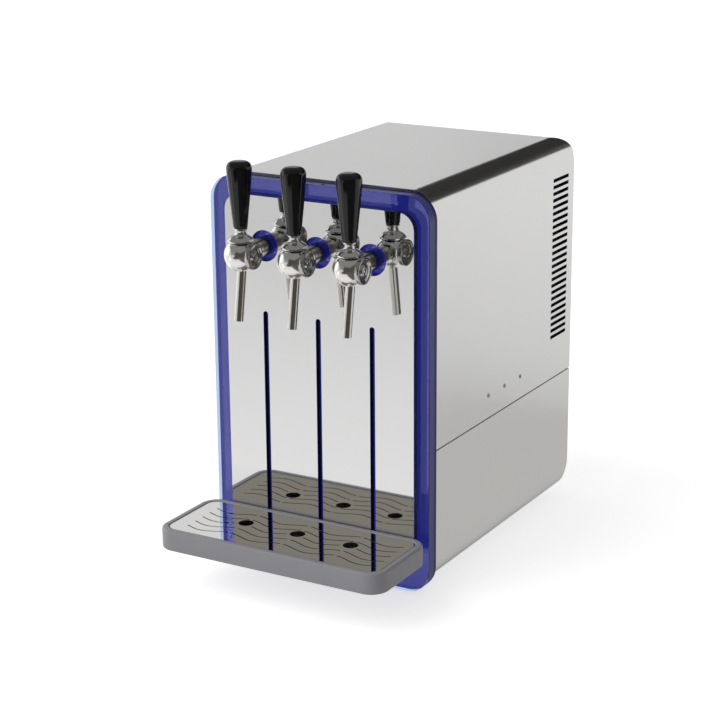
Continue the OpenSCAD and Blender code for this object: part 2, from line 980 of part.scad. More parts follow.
module cooling_block() {
  color([0.8, 0.8, 0.82])
    difference() {
      translate([tap_shift - block_w / 2, block_y, block_z])
        cube([block_w, block_d, block_h]);
      for (side = [left, middle, right])
        for (y = [block_y + block_d / 4, block_y + block_d * 3 / 4])
          translate([line_x(side), y, line_foot_z])
            cylinder(r = line_r + fit, h = block_h);
    }
}

// Foam jacket: walls on all six sides of the block.
module block_insulation() {
  color([0.2, 0.2, 0.22])
    difference() {
      translate([tap_shift - block_w / 2 - foam_t, foam_y, deck_top])
        cube([block_w + 2 * foam_t, block_d + 2 * foam_t, foam_top - deck_top]);
      translate([tap_shift - block_w / 2, block_y, block_z])
        cube([block_w, block_d, block_h]);
      for (side = [left, middle, right])
        for (y = [block_y + block_d / 4, block_y + block_d * 3 / 4])
          translate([line_x(side), y, block_z])
            cylinder(r = line_r + fit, h = block_h + foam_t + over);
    }
}

// Tube along a path: straight runs, joined by slightly thicker ball elbows.
module tube_run(points, radius) {
  for (i = [0:len(points) - 2]) {
    step = points[i + 1] - points[i];
    flat = norm([step[0], step[1]]);
    translate(points[i])
      rotate([0, atan2(flat, step[2]), atan2(step[1], step[0])])
        cylinder(r = radius, h = norm(step));
  }
  for (i = [1:1:len(points) - 2])
    translate(points[i])
      sphere(r = radius * elbow_share);
}

// Beer lines: from the rear stubs into the block, and from the block to the shanks.
module beer_lines() {
  tap_end = bulkhead_back + nut_t + thread_end;
  rear_end = back_y - 2 * sheet - stub_nut_l;
  color([0.8, 0.82, 0.8])
    for (side = [left, middle, right]) {
      down_x = line_x(side);
      front_y = block_y + block_d / 4;
      rear_y = block_y + block_d * 3 / 4;
      tube_run([
        [tap_x(side), tap_end, tap_height],
        [tap_x(side), line_turn_y, tap_height],
        [down_x, front_y, foam_top + 2 * foam_t],
        [down_x, front_y, line_foot_z]
      ], line_r);
      tube_run([
        [side * stub_pitch, rear_end, stub_z],
        [side * stub_pitch, foam_back, stub_z],
        [down_x, rear_y, stub_z - foam_t],
        [down_x, rear_y, line_foot_z]
      ], line_r);
    }
}

// Tube stubs for the hoses, each with a nut on both sides of the rear panel.
module beer_inlets() {
  inside = back_y - 2 * sheet;
  color([0.75, 0.75, 0.76])
    for (side = [left, middle, right])
      translate([side * stub_pitch, 0, stub_z])
        difference() {
          union() {
            translate([0, inside - stub_nut_l, 0])
              rod_y(stub_r, stub_l + 2 * sheet + stub_nut_l);
            translate([0, inside - stub_nut_l, 0])
              rod_y(stub_nut_r, stub_nut_l);
            translate([0, inside + sheet, 0])
              rod_y(stub_nut_r, stub_nut_l);
          }
          translate([0, inside - stub_nut_l - over, 0])
            rod_y(stub_r - spout_wall, stub_l + 2 * sheet + stub_nut_l + 2 * over);
        }
}

module compressor_mount_places() {
  reach = compressor_plate_w / 2 - 2 * mount_r + mount_r / 2;
  for (x = [-reach, reach])
    for (y = [-reach, reach])
      translate([compressor_x + x, compressor_y + y, compressor_z - mount_h])
        children();
}

// Sealed compressor shell on its base plate.
module compressor() {
  color([0.08, 0.08, 0.09])
    translate([compressor_x, compressor_y, compressor_z]) {
      translate([-compressor_plate_w / 2, -compressor_plate_w / 2, 0])
        cube([compressor_plate_w, compressor_plate_w, compressor_plate]);
      translate([0, 0, compressor_plate])
        cylinder(r = compressor_r, h = compressor_h - compressor_cap);
      translate([0, 0, compressor_plate + compressor_h - compressor_cap])
        cylinder(r1 = compressor_r, r2 = compressor_r - compressor_cap, h = compressor_cap);
    }
}

module compressor_mounts() {
  color([0.1, 0.1, 0.1])
    compressor_mount_places()
      cylinder(r = mount_r, h = mount_h);
}

// Condenser: thin fins on straight tubes between two end plates.
module condenser() {
  fin_pitch = (condenser_size - 2 * header_t) / (fin_count + 1);
  color([0.7, 0.7, 0.72])
    translate([-condenser_size / 2, condenser_y, condenser_z]) {
      for (x = [0, condenser_size - header_t])
        translate([x, 0, 0])
          cube([header_t, condenser_d, condenser_size]);
      for (i = [1:fin_count])
        translate([header_t + i * fin_pitch - fin_t / 2, 2 * fin_t, header_t])
          cube([fin_t, condenser_d - 4 * fin_t, condenser_size - 2 * header_t]);
      for (i = [0:coil_rows - 1])
        translate([0, condenser_d / 2, condenser_size * (i + 0.5) / coil_rows])
          rod_x(coil_r, condenser_size);
    }
}

// Square duct between fan and condenser, with the round fan opening in front.
module fan_shroud() {
  color([0.1, 0.1, 0.1])
    difference() {
      translate([-condenser_size / 2, shroud_y, condenser_z])
        cube([condenser_size, shroud_d, condenser_size]);
      translate([shroud_t - condenser_size / 2, shroud_y + shroud_t, condenser_z + shroud_t])
        cube([condenser_size - 2 * shroud_t, shroud_d, condenser_size - 2 * shroud_t]);
      translate([fan_x, shroud_y - over, fan_z])
        rod_y(fan_r + over, shroud_t + 2 * over);
    }
}

// Fan motor with its shaft and the four arms that reach the shroud.
module fan_motor() {
  reach = fan_r + 4 * over;
  color([0.3, 0.3, 0.32])
    translate([fan_x, 0, fan_z]) {
      translate([0, motor_y, 0])
        rod_y(motor_r, motor_l);
      translate([0, motor_y + motor_l, 0])
        rod_y(shaft_r, fan_y + fan_hub_l - motor_y - motor_l);
      translate([-reach, shroud_y - arm_t, -arm_w / 2])
        cube([2 * reach, arm_t, arm_w]);
      translate([-arm_w / 2, shroud_y - arm_t, -reach])
        cube([arm_w, arm_t, 2 * reach]);
    }
}

module fan_blades() {
  color([0.15, 0.15, 0.16])
    translate([fan_x, fan_y, fan_z])
      difference() {
        union() {
          rod_y(fan_hub_r, fan_hub_l);
          for (i = [0:blade_count - 1])
            rotate([0, i * 360 / blade_count, 0])
              translate([fan_hub_r / 2, fan_hub_l / 2, 0])
                rotate([blade_tilt, 0, 0])
                  translate([0, -blade_t / 2, -blade_w / 2])
                    cube([fan_r - over - fan_hub_r / 2, blade_t, blade_w]);
        }
        translate([0, -over, 0])
          rod_y(shaft_r + run, fan_hub_l + 2 * over);
      }
}

// Refrigerant pipes: compressor to condenser, condenser to drier and block, block to compressor.
module refrigerant_pipe() {
  coil_y = condenser_y + condenser_d / 2;
  coil_z = condenser_z + condenser_size / 2 / coil_rows;
  coil_next_z = coil_z + condenser_size / coil_rows;
  port_z = compressor_top - 2 * compressor_cap;
  drier_end = drier_y + drier_l;
  color([0.72, 0.45, 0.3]) {
    tube_run([
      [compressor_x + compressor_r + gap, compressor_y, port_z],
      [riser_x, compressor_y, port_z],
      [riser_x, compressor_y, coil_z],
      [side_x, compressor_y, coil_z],
      [side_x, coil_y, coil_z],
      [condenser_size / 2, coil_y, coil_z]
    ], pipe_r);
    tube_run([
      [condenser_size / 2, coil_y, coil_next_z],
      [drier_x, coil_y, coil_next_z],
      [drier_x, drier_end + pipe_lead, drier_z],
      [drier_x, drier_end, drier_z]
    ], pipe_r);
    tube_run([
      [drier_x, drier_y, drier_z],
      [drier_x, block_y + block_d / 2, drier_z],
      [foam_right, block_y + block_d / 2, drier_z]
    ], pipe_r);
    tube_run([
      [suction_x, foam_back, drier_z],
      [suction_x, suction_y, drier_z],
      [suction_x, suction_y, compressor_top]
    ], pipe_r);
  }
}

module filter_drier() {
  color([0.75, 0.5, 0.35])
    translate([drier_x, drier_y, drier_z])
      rod_y(drier_r, drier_l);
}

// Thermostat body inside the tub's rear wall, with bushing and shaft.
module thermostat() {
  inside = back_y - sheet;
  color([0.85, 0.85, 0.85])
    translate([dial_x, 0, dial_z]) {
      translate([-thermostat_w / 2, inside - thermostat_d, -thermostat_h / 2])
        cube([thermostat_w, thermostat_d, thermostat_h]);
      translate([0, inside, 0])
        rod_y(dial_nut_r - fit, sheet);
      translate([0, back_y, 0])
        rod_y(dial_shaft_r, dial_l);
    }
}

// Round knob with a pointer rib.
module thermostat_knob() {
  color([0.06, 0.06, 0.06])
    translate([dial_x, back_y + gap, dial_z])
      difference() {
        union() {
          rod_y(dial_r, dial_l / 2);
          rod_y(dial_r * dial_cap_share, dial_l + gap);
          translate([-dial_shaft_r / 2, 0, 0])
            cube([dial_shaft_r, dial_l + gap + sheet, dial_r * dial_rib_share]);
        }
        translate([0, -over, 0])
          rod_y(dial_shaft_r + run, dial_l + over);
      }
}

module switch_body() {
  color([0.06, 0.06, 0.06])
    translate([switch_x, 0, switch_z])
      difference() {
        union() {
          translate([fit - switch_w / 2, back_y - switch_d, fit - switch_h / 2])
            cube([switch_w - 2 * fit, switch_d, switch_h - 2 * fit]);
          translate([-switch_w / 2 - switch_flange, back_y, -switch_h / 2 - switch_flange])
            cube([switch_w + 2 * switch_flange, inlet_flange_t, switch_h + 2 * switch_flange]);
        }
        translate([-rocker_w / 2 - gap, back_y - 2 * rocker_in, -rocker_h / 2 - rocker_gap / 2])
          cube([rocker_w + 2 * gap, 2 * rocker_in + inlet_flange_t + over, rocker_h + rocker_gap]);
        translate([-rocker_w / 2 - rocker_pin_l - gap, back_y, 0])
          rod_x(rocker_pin_r + run, rocker_w + 2 * rocker_pin_l + 2 * gap);
      }
}

// Rocker with a shallow bend, tipping on two small pins.
module switch_rocker() {
  half = rocker_h / 2 - gap;
  color([0.5, 0.06, 0.05])
    translate([switch_x, back_y, switch_z]) {
      translate([-rocker_w / 2, 0, 0])
        along_x(rocker_w)
          polygon([
            [-rocker_in, -half / 2],
            [rocker_out * rocker_crest_share, -half],
            [rocker_out, 0],
            [rocker_out * rocker_crest_share, half],
            [-rocker_in, half / 2]
          ]);
      translate([-rocker_w / 2 - rocker_pin_l, 0, 0])
        rod_x(rocker_pin_r, rocker_w + 2 * rocker_pin_l);
    }
}

// Recessed mains socket with three flat contacts.
module mains_inlet() {
  color([0.06, 0.06, 0.06])
    translate([inlet_x, 0, inlet_z]) {
      difference() {
        union() {
          translate([fit - inlet_w / 2, back_y - inlet_d, fit - inlet_h / 2])
            cube([inlet_w - 2 * fit, inlet_d, inlet_h - 2 * fit]);
          translate([-inlet_w / 2 - inlet_flange, back_y, -inlet_h / 2 - inlet_flange])
            cube([inlet_w + 2 * inlet_flange, inlet_flange_t, inlet_h + 2 * inlet_flange]);
        }
        translate([inlet_wall - inlet_w / 2, back_y - inlet_d + inlet_wall, inlet_wall - inlet_h / 2])
          cube([inlet_w - 2 * inlet_wall, inlet_d + inlet_flange_t, inlet_h - 2 * inlet_wall]);
      }
      for (i = [-1:1])
        translate([i * contact_pitch - contact_w / 2, back_y - inlet_d + inlet_wall - over / 2, -contact_h])
          cube([contact_w, contact_l, contact_h]);
    }
}

hood();
base_tub();
rear_panel();
deck_plate();
front_bulkhead();
cover_screws();
feet();
clear_panel();
blue_film();
panel_gasket();
mirror_plate();
backing_plate();
panel_screw();
shank(left);  // shank_left
shank(middle);  // shank_middle
shank(right);  // shank_right
shank_nut(left);  // shank_nut_left
shank_nut(middle);  // shank_nut_middle
shank_nut(right);  // shank_nut_right
tap_body(left);  // tap_body_left
tap_body(middle);  // tap_body_middle
tap_body(right);  // tap_body_right
spout(left);  // spout_left
spout(middle);  // spout_middle
spout(right);  // spout_right
plunger(left);  // plunger_left
plunger(middle);  // plunger_middle
plunger(right);  // plunger_right
lever(left);  // lever_left
lever(middle);  // lever_middle
lever(right);  // lever_right
handle(left);  // handle_left
handle(middle);  // handle_middle
handle(right);  // handle_right
flow_knob(left);  // flow_knob_left
flow_knob(middle);  // flow_knob_middle
flow_knob(right);  // flow_knob_right
drip_tray();
drip_grille();
tray_studs();
cooling_block();
block_insulation();
beer_lines();
beer_inlets();
compressor();
compressor_mounts();
condenser();
fan_shroud();
fan_motor();
fan_blades();
refrigerant_pipe();
filter_drier();
thermostat();
thermostat_knob();
switch_body();
switch_rocker();
mains_inlet();
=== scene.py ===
# %% [markdown]
# A counter-top beer cooler, dressed for its picture
#
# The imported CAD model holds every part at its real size. This lesson keeps those parts as the fixed
# frame and adds what a camera sees: rounded plastic, turned metal, satin steel, clear acrylic.
# It could also be modelled from nothing, but then parts that turn or slide would no longer fit.

# %% Load the frame
import math
import bmesh
import bpy
from mathutils import Matrix, Vector


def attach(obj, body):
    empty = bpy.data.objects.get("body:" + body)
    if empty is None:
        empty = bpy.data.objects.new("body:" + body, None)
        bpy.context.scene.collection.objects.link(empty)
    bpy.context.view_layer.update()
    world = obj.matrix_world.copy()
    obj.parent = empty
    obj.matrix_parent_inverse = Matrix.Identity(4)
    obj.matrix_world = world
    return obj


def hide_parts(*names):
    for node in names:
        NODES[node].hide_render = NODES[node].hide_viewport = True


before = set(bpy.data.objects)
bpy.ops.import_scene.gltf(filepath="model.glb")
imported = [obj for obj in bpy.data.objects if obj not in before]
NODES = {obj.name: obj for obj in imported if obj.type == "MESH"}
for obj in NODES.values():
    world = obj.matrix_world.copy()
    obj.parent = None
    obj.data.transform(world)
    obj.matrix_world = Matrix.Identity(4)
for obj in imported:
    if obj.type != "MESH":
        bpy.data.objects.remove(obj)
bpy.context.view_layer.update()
MM = 0.001
SIDES = ("left", "middle", "right")

# %% [markdown]
# Places that the pieces share
#
# Every new piece has to meet a CAD part, so the few lengths that both need are written down once,
# in millimetres, and turned into metres by the helpers. Measuring each CAD mesh in code would also
# work, but a short table reads better.

# %% Shared lengths
TAP_X = {"left": -72.5, "middle": 5.5, "right": 83.5}
TAP_Y, TAP_Z = -233.0, 437.5  # the middle of each ball
NECK_Z = 34.7  # foot of the handle, above the middle of the ball
HANDLE_L = 84.0
FLAT_X = 15.0  # flat side of the ball, right of its middle
TRAY = {"x": 165.0, "front": -310.0, "back": -180.3, "foot": 55.5, "top": 83.5, "r": 24.0, "rim": 9.0}
PANEL = {"x": 159.0, "foot": 4.0, "top": 521.0, "front": -171.0, "back": -157.0, "r": 33.0}
PANEL_MIDDLE_Y = -164.0
COVER_X, COVER_Z = 147.0, 216.5  # the cover's screws: side face and height
COVER_Y = (18.5, 67.0, 115.5)
print("taps at x", list(TAP_X.values()), "mm")

# %% [markdown]
# The camera
#
# The photograph was taken from the right and a little above. The position and the lens come from
# lines that can be measured in it: the edges of the case, the ball centres and the tray. A camera is
# placed here by three directions, right, up and forward, which say more than three angles would.

# %% Camera
FOCAL_PX, IMAGE_PX, SENSOR_MM = 1978.7, 720.0, 36.0
CAMERA_PLACE = (1.2497, -2.2229, 1.0253)
yaw, pitch, roll = 0.5252, -0.2953, -0.0078
forward = Vector((-math.sin(yaw) * math.cos(pitch), math.cos(yaw) * math.cos(pitch), math.sin(pitch)))
flat_right = Vector((math.cos(yaw), math.sin(yaw), 0.0))
flat_up = flat_right.cross(forward)
right = math.cos(roll) * flat_right + math.sin(roll) * flat_up
up = right.cross(forward)
lens = bpy.data.cameras.new("view_camera")
lens.sensor_width = SENSOR_MM
lens.lens = FOCAL_PX / IMAGE_PX * SENSOR_MM
camera = bpy.data.objects.new("view_camera", lens)
bpy.context.scene.collection.objects.link(camera)
turn = Matrix((right, up, -forward)).transposed().to_4x4()
camera.matrix_world = Matrix.Translation(CAMERA_PLACE) @ turn
bpy.context.scene.camera = camera
bpy.context.scene.view_settings.view_transform = "Standard"
print("lens", round(lens.lens, 1), "mm")

# %% [markdown]
# Small helpers for modelling
#
# Every piece starts as a primitive and is shaped in edit mode. An operator works on whatever is
# selected, so each helper first clears the selection and then picks faces or edges by their place.

# %% Modelling helpers
WELD = 0.00002  # points closer than this, in metres, become one


def clear_selection():
    """Leaves edit mode and selects nothing."""
    if bpy.context.mode != "OBJECT":
        bpy.ops.object.mode_set(mode="OBJECT")
    bpy.ops.object.select_all(action="DESELECT")


def pick(piece, kind, test):
    """In edit mode, selects the faces or edges whose middle (in mm) and normal pass a test."""
    bpy.ops.mesh.select_mode(type="FACE" if kind == "faces" else "EDGE")
    bpy.ops.mesh.select_all(action="DESELECT")
    bm = bmesh.from_edit_mesh(piece.data)
    found = 0
    for item in list(getattr(bm, kind)):
        points = [v.co for v in item.verts]
        middle = sum(points, Vector()) / len(points) / MM
        along = item.normal if kind == "faces" else (points[1] - points[0]).normalized()
        if test(middle, along):
            item.select_set(True)
            found += 1
    bmesh.update_edit_mesh(piece.data)
    return found


def block(name, low, high):
    """A cube primitive between two corners in mm, left in edit mode."""
    clear_selection()
    middle = [(a + b) / 2 * MM for a, b in zip(low, high)]
    size = [(b - a) * MM for a, b in zip(low, high)]
    bpy.ops.mesh.primitive_cube_add(size=1.0, location=middle, scale=size)
    piece = bpy.context.object
    piece.name = name
    bpy.ops.object.transform_apply(location=True, rotation=True, scale=True)
    bpy.ops.object.mode_set(mode="EDIT")
    return piece


def turned(name, outline, centre, axis="Z", steps=64):
    """Draws half an outline, as (radius, height) pairs in mm, point by point, and spins it."""
    clear_selection()
    bpy.ops.mesh.primitive_plane_add(size=MM, location=(0, 0, 0))
    piece = bpy.context.object
    piece.name = name
    bpy.ops.object.mode_set(mode="EDIT")
    bpy.ops.mesh.select_mode(type="VERT")
    bpy.ops.mesh.select_all(action="SELECT")
    bpy.ops.mesh.merge(type="CENTER")
    places = [Vector((r, 0.0, h)) * MM for r, h in outline]
    bpy.ops.transform.translate(value=places[0])
    for here, there in zip(places, places[1:]):
        bpy.ops.mesh.extrude_region_move(TRANSFORM_OT_translate={"value": there - here})
    bpy.ops.mesh.select_all(action="SELECT")
    bpy.ops.mesh.spin(steps=steps, angle=math.tau, center=(0, 0, 0), axis=(0, 0, 1))
    bpy.ops.mesh.select_all(action="SELECT")
    bpy.ops.mesh.remove_doubles(threshold=WELD)
    bpy.ops.mesh.normals_make_consistent(inside=False)
    bpy.ops.object.mode_set(mode="OBJECT")
    tilt = {"Z": (0, 0, 0), "Y": (-math.pi / 2, 0, 0), "X": (0, math.pi / 2, 0)}[axis]
    piece.rotation_euler = tilt
    piece.location = Vector(centre) * MM
    bpy.ops.object.transform_apply(location=True, rotation=True, scale=True)
    return piece


def finish_piece(piece, angle=35.0):
    """Back to object mode, smooth shading that keeps sharp edges, place in the mesh."""
    if bpy.context.mode != "OBJECT":
        bpy.ops.object.mode_set(mode="OBJECT")
    clear_selection()
    piece.select_set(True)
    bpy.context.view_layer.objects.active = piece
    bpy.ops.object.shade_smooth_by_angle(angle=math.radians(angle))
    bpy.ops.object.transform_apply(location=True, rotation=True, scale=True)
    return piece


def apply_modifier(piece, kind, **settings):
    """Adds one modifier, sets it up and applies it."""
    clear_selection()
    piece.select_set(True)
    bpy.context.view_layer.objects.active = piece
    modifier = piece.modifiers.new(kind.lower(), kind)
    for key, value in settings.items():
        setattr(modifier, key, value)
    bpy.ops.object.modifier_apply(modifier=modifier.name)


def join_into(piece, extra):
    """Joins a second mesh into a piece."""
    clear_selection()
    extra.select_set(True)
    piece.select_set(True)
    bpy.context.view_layer.objects.active = piece
    bpy.ops.object.join()


def coat(piece, *materials):
    """Gives a piece its materials, in the order of its slots."""
    piece.data.materials.clear()
    for material in materials:
        piece.data.materials.append(material)


def arc(centre, radius, start, end, count):
    """Points of an arc as (radius, height) pairs; angles in degrees."""
    angles = [math.radians(start + (end - start) * i / count) for i in range(count + 1)]
    return [(centre[0] + radius * math.cos(a), centre[1] + radius * math.sin(a)) for a in angles]


def copy_to_taps(master, stem, body):
    """Copies a piece made at the middle tap to all three taps, each with its own mesh."""
    made = {}
    for side in SIDES:
        piece = master.copy()
        piece.data = master.data.copy()
        piece.name = f"{stem}_{side}_look"
        bpy.context.scene.collection.objects.link(piece)
        piece.location = Vector(((TAP_X[side] - TAP_X["middle"]) * MM, 0, 0))
        finish_piece(piece)
        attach(piece, body(side))
        made[side] = piece
    bpy.data.objects.remove(master, do_unlink=True)
    return made


print("helpers ready")

# %% [markdown]
# Shared effects for the materials
#
# Brushed metal, smudges and worn edges turn up on many parts, so each is a node group made once and
# placed in every material with its own values. A picture texture would be quicker to draw but would
# stop at one size; these patterns are computed and stay sharp from any distance.

# %% Node group helpers
def new_group(name, inputs, outputs):
    """An empty shader node group with named float or vector sockets."""
    group = bpy.data.node_groups.new(name, "ShaderNodeTree")
    for title, kind, value in inputs:
        socket = group.interface.new_socket(title, in_out="INPUT", socket_type=kind)
        if value is not None:
            socket.default_value = value
    for title, kind in outputs:
        group.interface.new_socket(title, in_out="OUTPUT", socket_type=kind)
    entry = group.nodes.new("NodeGroupInput")
    leave = group.nodes.new("NodeGroupOutput")
    return group, entry, leave


def put(tree, kind, **values):
    """Adds a node and sets its properties or its input sockets by name."""
    node = tree.nodes.new(kind)
    for key, value in values.items():
        name = key.replace("_", " ")
        if hasattr(node, key):
            setattr(node, key, value)
        else:
            node.inputs[name].default_value = value
    return node


FLOAT, VECTOR = "NodeSocketFloat", "NodeSocketVector"

# %% Group: brushed grain
FINE_SHARE, COARSE_SHARE = 0.7, 0.3
grain_group, entry, leave = new_group(
    "brushed_grain",
    [("Vector", VECTOR, None), ("Stretch", VECTOR, (1.0, 1.0, 1.0)), ("Depth", FLOAT, 0.2)],
    [("Mask", FLOAT), ("Normal", VECTOR)],
)
tree = grain_group
scaled = put(tree, "ShaderNodeVectorMath", operation="MULTIPLY")
fine = put(tree, "ShaderNodeTexNoise", Scale=1.0, Detail=3.0, Roughness=0.6)
coarse = put(tree, "ShaderNodeTexNoise", Scale=0.21, Detail=2.0, Roughness=0.5)
blend = put(tree, "ShaderNodeMath", operation="MULTIPLY_ADD")
blend.inputs[1].default_value = FINE_SHARE
share = put(tree, "ShaderNodeMath", operation="MULTIPLY")
share.inputs[1].default_value = COARSE_SHARE
bump = put(tree, "ShaderNodeBump", Distance=0.0002)
tree.links.new(entry.outputs["Vector"], scaled.inputs[0])
tree.links.new(entry.outputs["Stretch"], scaled.inputs[1])
tree.links.new(scaled.outputs[0], fine.inputs["Vector"])
tree.links.new(scaled.outputs[0], coarse.inputs["Vector"])
tree.links.new(coarse.outputs["Fac"], share.inputs[0])
tree.links.new(fine.outputs["Fac"], blend.inputs[0])
tree.links.new(share.outputs[0], blend.inputs[2])
tree.links.new(blend.outputs[0], bump.inputs["Height"])
tree.links.new(entry.outputs["Depth"], bump.inputs["Strength"])
tree.links.new(blend.outputs[0], leave.inputs["Mask"])
tree.links.new(bump.outputs["Normal"], leave.inputs["Normal"])
print("brushed_grain:", len(tree.nodes), "nodes")

# %% Group: smudges
CLOUD_SHOWS, CLOUD_FULL = 0.42, 0.75
smudge_group, entry, leave = new_group(
    "soft_smudges",
    [("Vector", VECTOR, None), ("Scale", FLOAT, 12.0), ("Amount", FLOAT, 0.5)],
    [("Mask", FLOAT)],
)
tree = smudge_group
cloud = put(tree, "ShaderNodeTexNoise", Detail=5.0, Roughness=0.62, Distortion=0.4)
level = put(tree, "ShaderNodeMapRange")
level.inputs["From Min"].default_value = CLOUD_SHOWS
level.inputs["From Max"].default_value = CLOUD_FULL
scaled = put(tree, "ShaderNodeMath", operation="MULTIPLY")
tree.links.new(entry.outputs["Vector"], cloud.inputs["Vector"])
tree.links.new(entry.outputs["Scale"], cloud.inputs["Scale"])
tree.links.new(cloud.outputs["Fac"], level.inputs["Value"])
tree.links.new(level.outputs["Result"], scaled.inputs[0])
tree.links.new(entry.outputs["Amount"], scaled.inputs[1])
tree.links.new(scaled.outputs[0], leave.inputs["Mask"])
print("soft_smudges:", len(tree.nodes), "nodes")

# %% Group: worn edges
WEAR_STARTS, WEAR_FULL = 0.52, 0.60  # a flat face has a pointiness of 0.5
edge_group, entry, leave = new_group(
    "worn_edges",
    [("Vector", VECTOR, None), ("Amount", FLOAT, 0.5)],
    [("Mask", FLOAT)],
)
tree = edge_group
shape = put(tree, "ShaderNodeNewGeometry")
sharp = put(tree, "ShaderNodeMapRange")
sharp.inputs["From Min"].default_value = WEAR_STARTS
sharp.inputs["From Max"].default_value = WEAR_FULL
broken = put(tree, "ShaderNodeTexNoise", Scale=180.0, Detail=3.0)
part = put(tree, "ShaderNodeMath", operation="MULTIPLY")
whole = put(tree, "ShaderNodeMath", operation="MULTIPLY", use_clamp=True)
tree.links.new(shape.outputs["Pointiness"], sharp.inputs["Value"])
tree.links.new(entry.outputs["Vector"], broken.inputs["Vector"])
tree.links.new(sharp.outputs["Result"], part.inputs[0])
tree.links.new(broken.outputs["Fac"], part.inputs[1])
tree.links.new(part.outputs[0], whole.inputs[0])
tree.links.new(entry.outputs["Amount"], whole.inputs[1])
tree.links.new(whole.outputs[0], leave.inputs["Mask"])
print("worn_edges:", len(tree.nodes), "nodes")

# %% [markdown]
# Materials
#
# Each finish is a Principled shader with its own numbers, and the groups above vary its colour and
# roughness a little. Object coordinates carry the patterns, because every piece has its place in its
# mesh, so a pattern keeps its size in metres on every part.

# %% Material helpers
SMUDGE_ROUGHENS = 0.6  # share of a finish's roughness spread that a smudge adds


def add_group(tree, group, place, **values):
    """Places a node group in a material and feeds it the object's coordinates."""
    node = put(tree, "ShaderNodeGroup")
    node.node_tree = group
    for key, value in values.items():
        node.inputs[key].default_value = value
    tree.links.new(place.outputs["Object"], node.inputs["Vector"])
    return node


def finish(name, colour, metallic=0.0, roughness=0.4, spread=0.1, stretch=(400.0, 400.0, 400.0),
           depth=0.1, smudge=0.3, smudge_scale=12.0, shade=0.85, wear=0.0, wear_colour=(0.6, 0.6, 0.6),
           **sockets):
    """A Principled material with grain, smudges and worn edges."""
    material = bpy.data.materials.new(name)
    material.use_nodes = True
    tree = material.node_tree
    shader = tree.nodes["Principled BSDF"]
    shader.inputs["Metallic"].default_value = metallic
    for key, value in sockets.items():
        shader.inputs[key.replace("_", " ")].default_value = value
    place = put(tree, "ShaderNodeTexCoord")
    grain = add_group(tree, grain_group, place, Stretch=stretch, Depth=depth)
    smudges = add_group(tree, smudge_group, place, Scale=smudge_scale, Amount=smudge)
    edges = add_group(tree, edge_group, place, Amount=wear)
    tone = put(tree, "ShaderNodeMix", data_type="RGBA")
    tone.inputs["A"].default_value = (*colour, 1.0)
    tone.inputs["B"].default_value = (*[c * shade for c in colour], 1.0)
    tree.links.new(smudges.outputs["Mask"], tone.inputs["Factor"])
    worn = put(tree, "ShaderNodeMix", data_type="RGBA")
    worn.inputs["B"].default_value = (*wear_colour, 1.0)
    tree.links.new(tone.outputs["Result"], worn.inputs["A"])
    tree.links.new(edges.outputs["Mask"], worn.inputs["Factor"])
    tree.links.new(worn.outputs["Result"], shader.inputs["Base Color"])
    rough = put(tree, "ShaderNodeMapRange")
    rough.inputs["To Min"].default_value = max(0.0, roughness - spread / 2)
    rough.inputs["To Max"].default_value = roughness + spread / 2
    both = put(tree, "ShaderNodeMath", operation="MULTIPLY_ADD")
    both.inputs[1].default_value = spread * SMUDGE_ROUGHENS
    tree.links.new(grain.outputs["Mask"], rough.inputs["Value"])
    tree.links.new(smudges.outputs["Mask"], both.inputs[0])
    tree.links.new(rough.outputs["Result"], both.inputs[2])
    tree.links.new(both.outputs[0], shader.inputs["Roughness"])
    tree.links.new(grain.outputs["Normal"], shader.inputs["Normal"])
    return material


# %% [markdown]
# Metals
#
# The case is satin sheet: its grain is so fine that it shows only as soft reflections. The taps are
# brushed, with lines that run round them. The mirror plate and the grille are polished, the levers
# are satin, and the flow knobs have a darker chrome. Coordinates that are multiplied by much across
# an axis and by little along it draw the noise out into brushed lines.

# %% Metals
STEEL = {}
STEEL["case"] = finish(
    "satin_case_sheet", (0.665, 0.66, 0.655), metallic=1.0, roughness=0.19, spread=0.04,
    stretch=(900.0, 14.0, 900.0), depth=0.025, smudge=0.25, smudge_scale=5.0, shade=0.96)
STEEL["rear"] = finish(
    "zinc_coated_sheet", (0.50, 0.51, 0.52), metallic=1.0, roughness=0.42, spread=0.12,
    stretch=(160.0, 160.0, 160.0), depth=0.12, smudge=0.6, smudge_scale=30.0, shade=0.82)
STEEL["mirror"] = finish(
    "polished_mirror_sheet", (0.80, 0.80, 0.795), metallic=1.0, roughness=0.035, spread=0.02,
    stretch=(12.0, 12.0, 12.0), depth=0.004, smudge=0.25, smudge_scale=9.0, shade=0.97)
STEEL["grille"] = finish(
    "polished_grille_sheet", (0.83, 0.825, 0.81), metallic=1.0, roughness=0.045, spread=0.03,
    stretch=(30.0, 30.0, 30.0), depth=0.006, smudge=0.3, smudge_scale=14.0, shade=0.95)
STEEL["ball"] = finish(
    "brushed_tap_ball", (0.86, 0.845, 0.82), metallic=1.0, roughness=0.16, spread=0.05,
    stretch=(30.0, 30.0, 1700.0), depth=0.06, smudge=0.2, smudge_scale=60.0, shade=0.92)
STEEL["sleeve"] = finish(
    "brushed_tap_sleeve", (0.55, 0.525, 0.49), metallic=1.0, roughness=0.24, spread=0.12,
    stretch=(30.0, 1600.0, 30.0), depth=0.10, smudge=0.3, smudge_scale=60.0, shade=0.88)
STEEL["spout"] = finish(
    "brushed_spout_tube", (0.74, 0.715, 0.68), metallic=1.0, roughness=0.15, spread=0.06,
    stretch=(1500.0, 1500.0, 25.0), depth=0.05, smudge=0.3, smudge_scale=60.0, shade=0.9)
STEEL["chrome"] = finish(
    "chrome_plate", (0.84, 0.84, 0.84), metallic=1.0, roughness=0.05, spread=0.03,
    stretch=(60.0, 60.0, 60.0), depth=0.01, smudge=0.35, smudge_scale=80.0, shade=0.93)
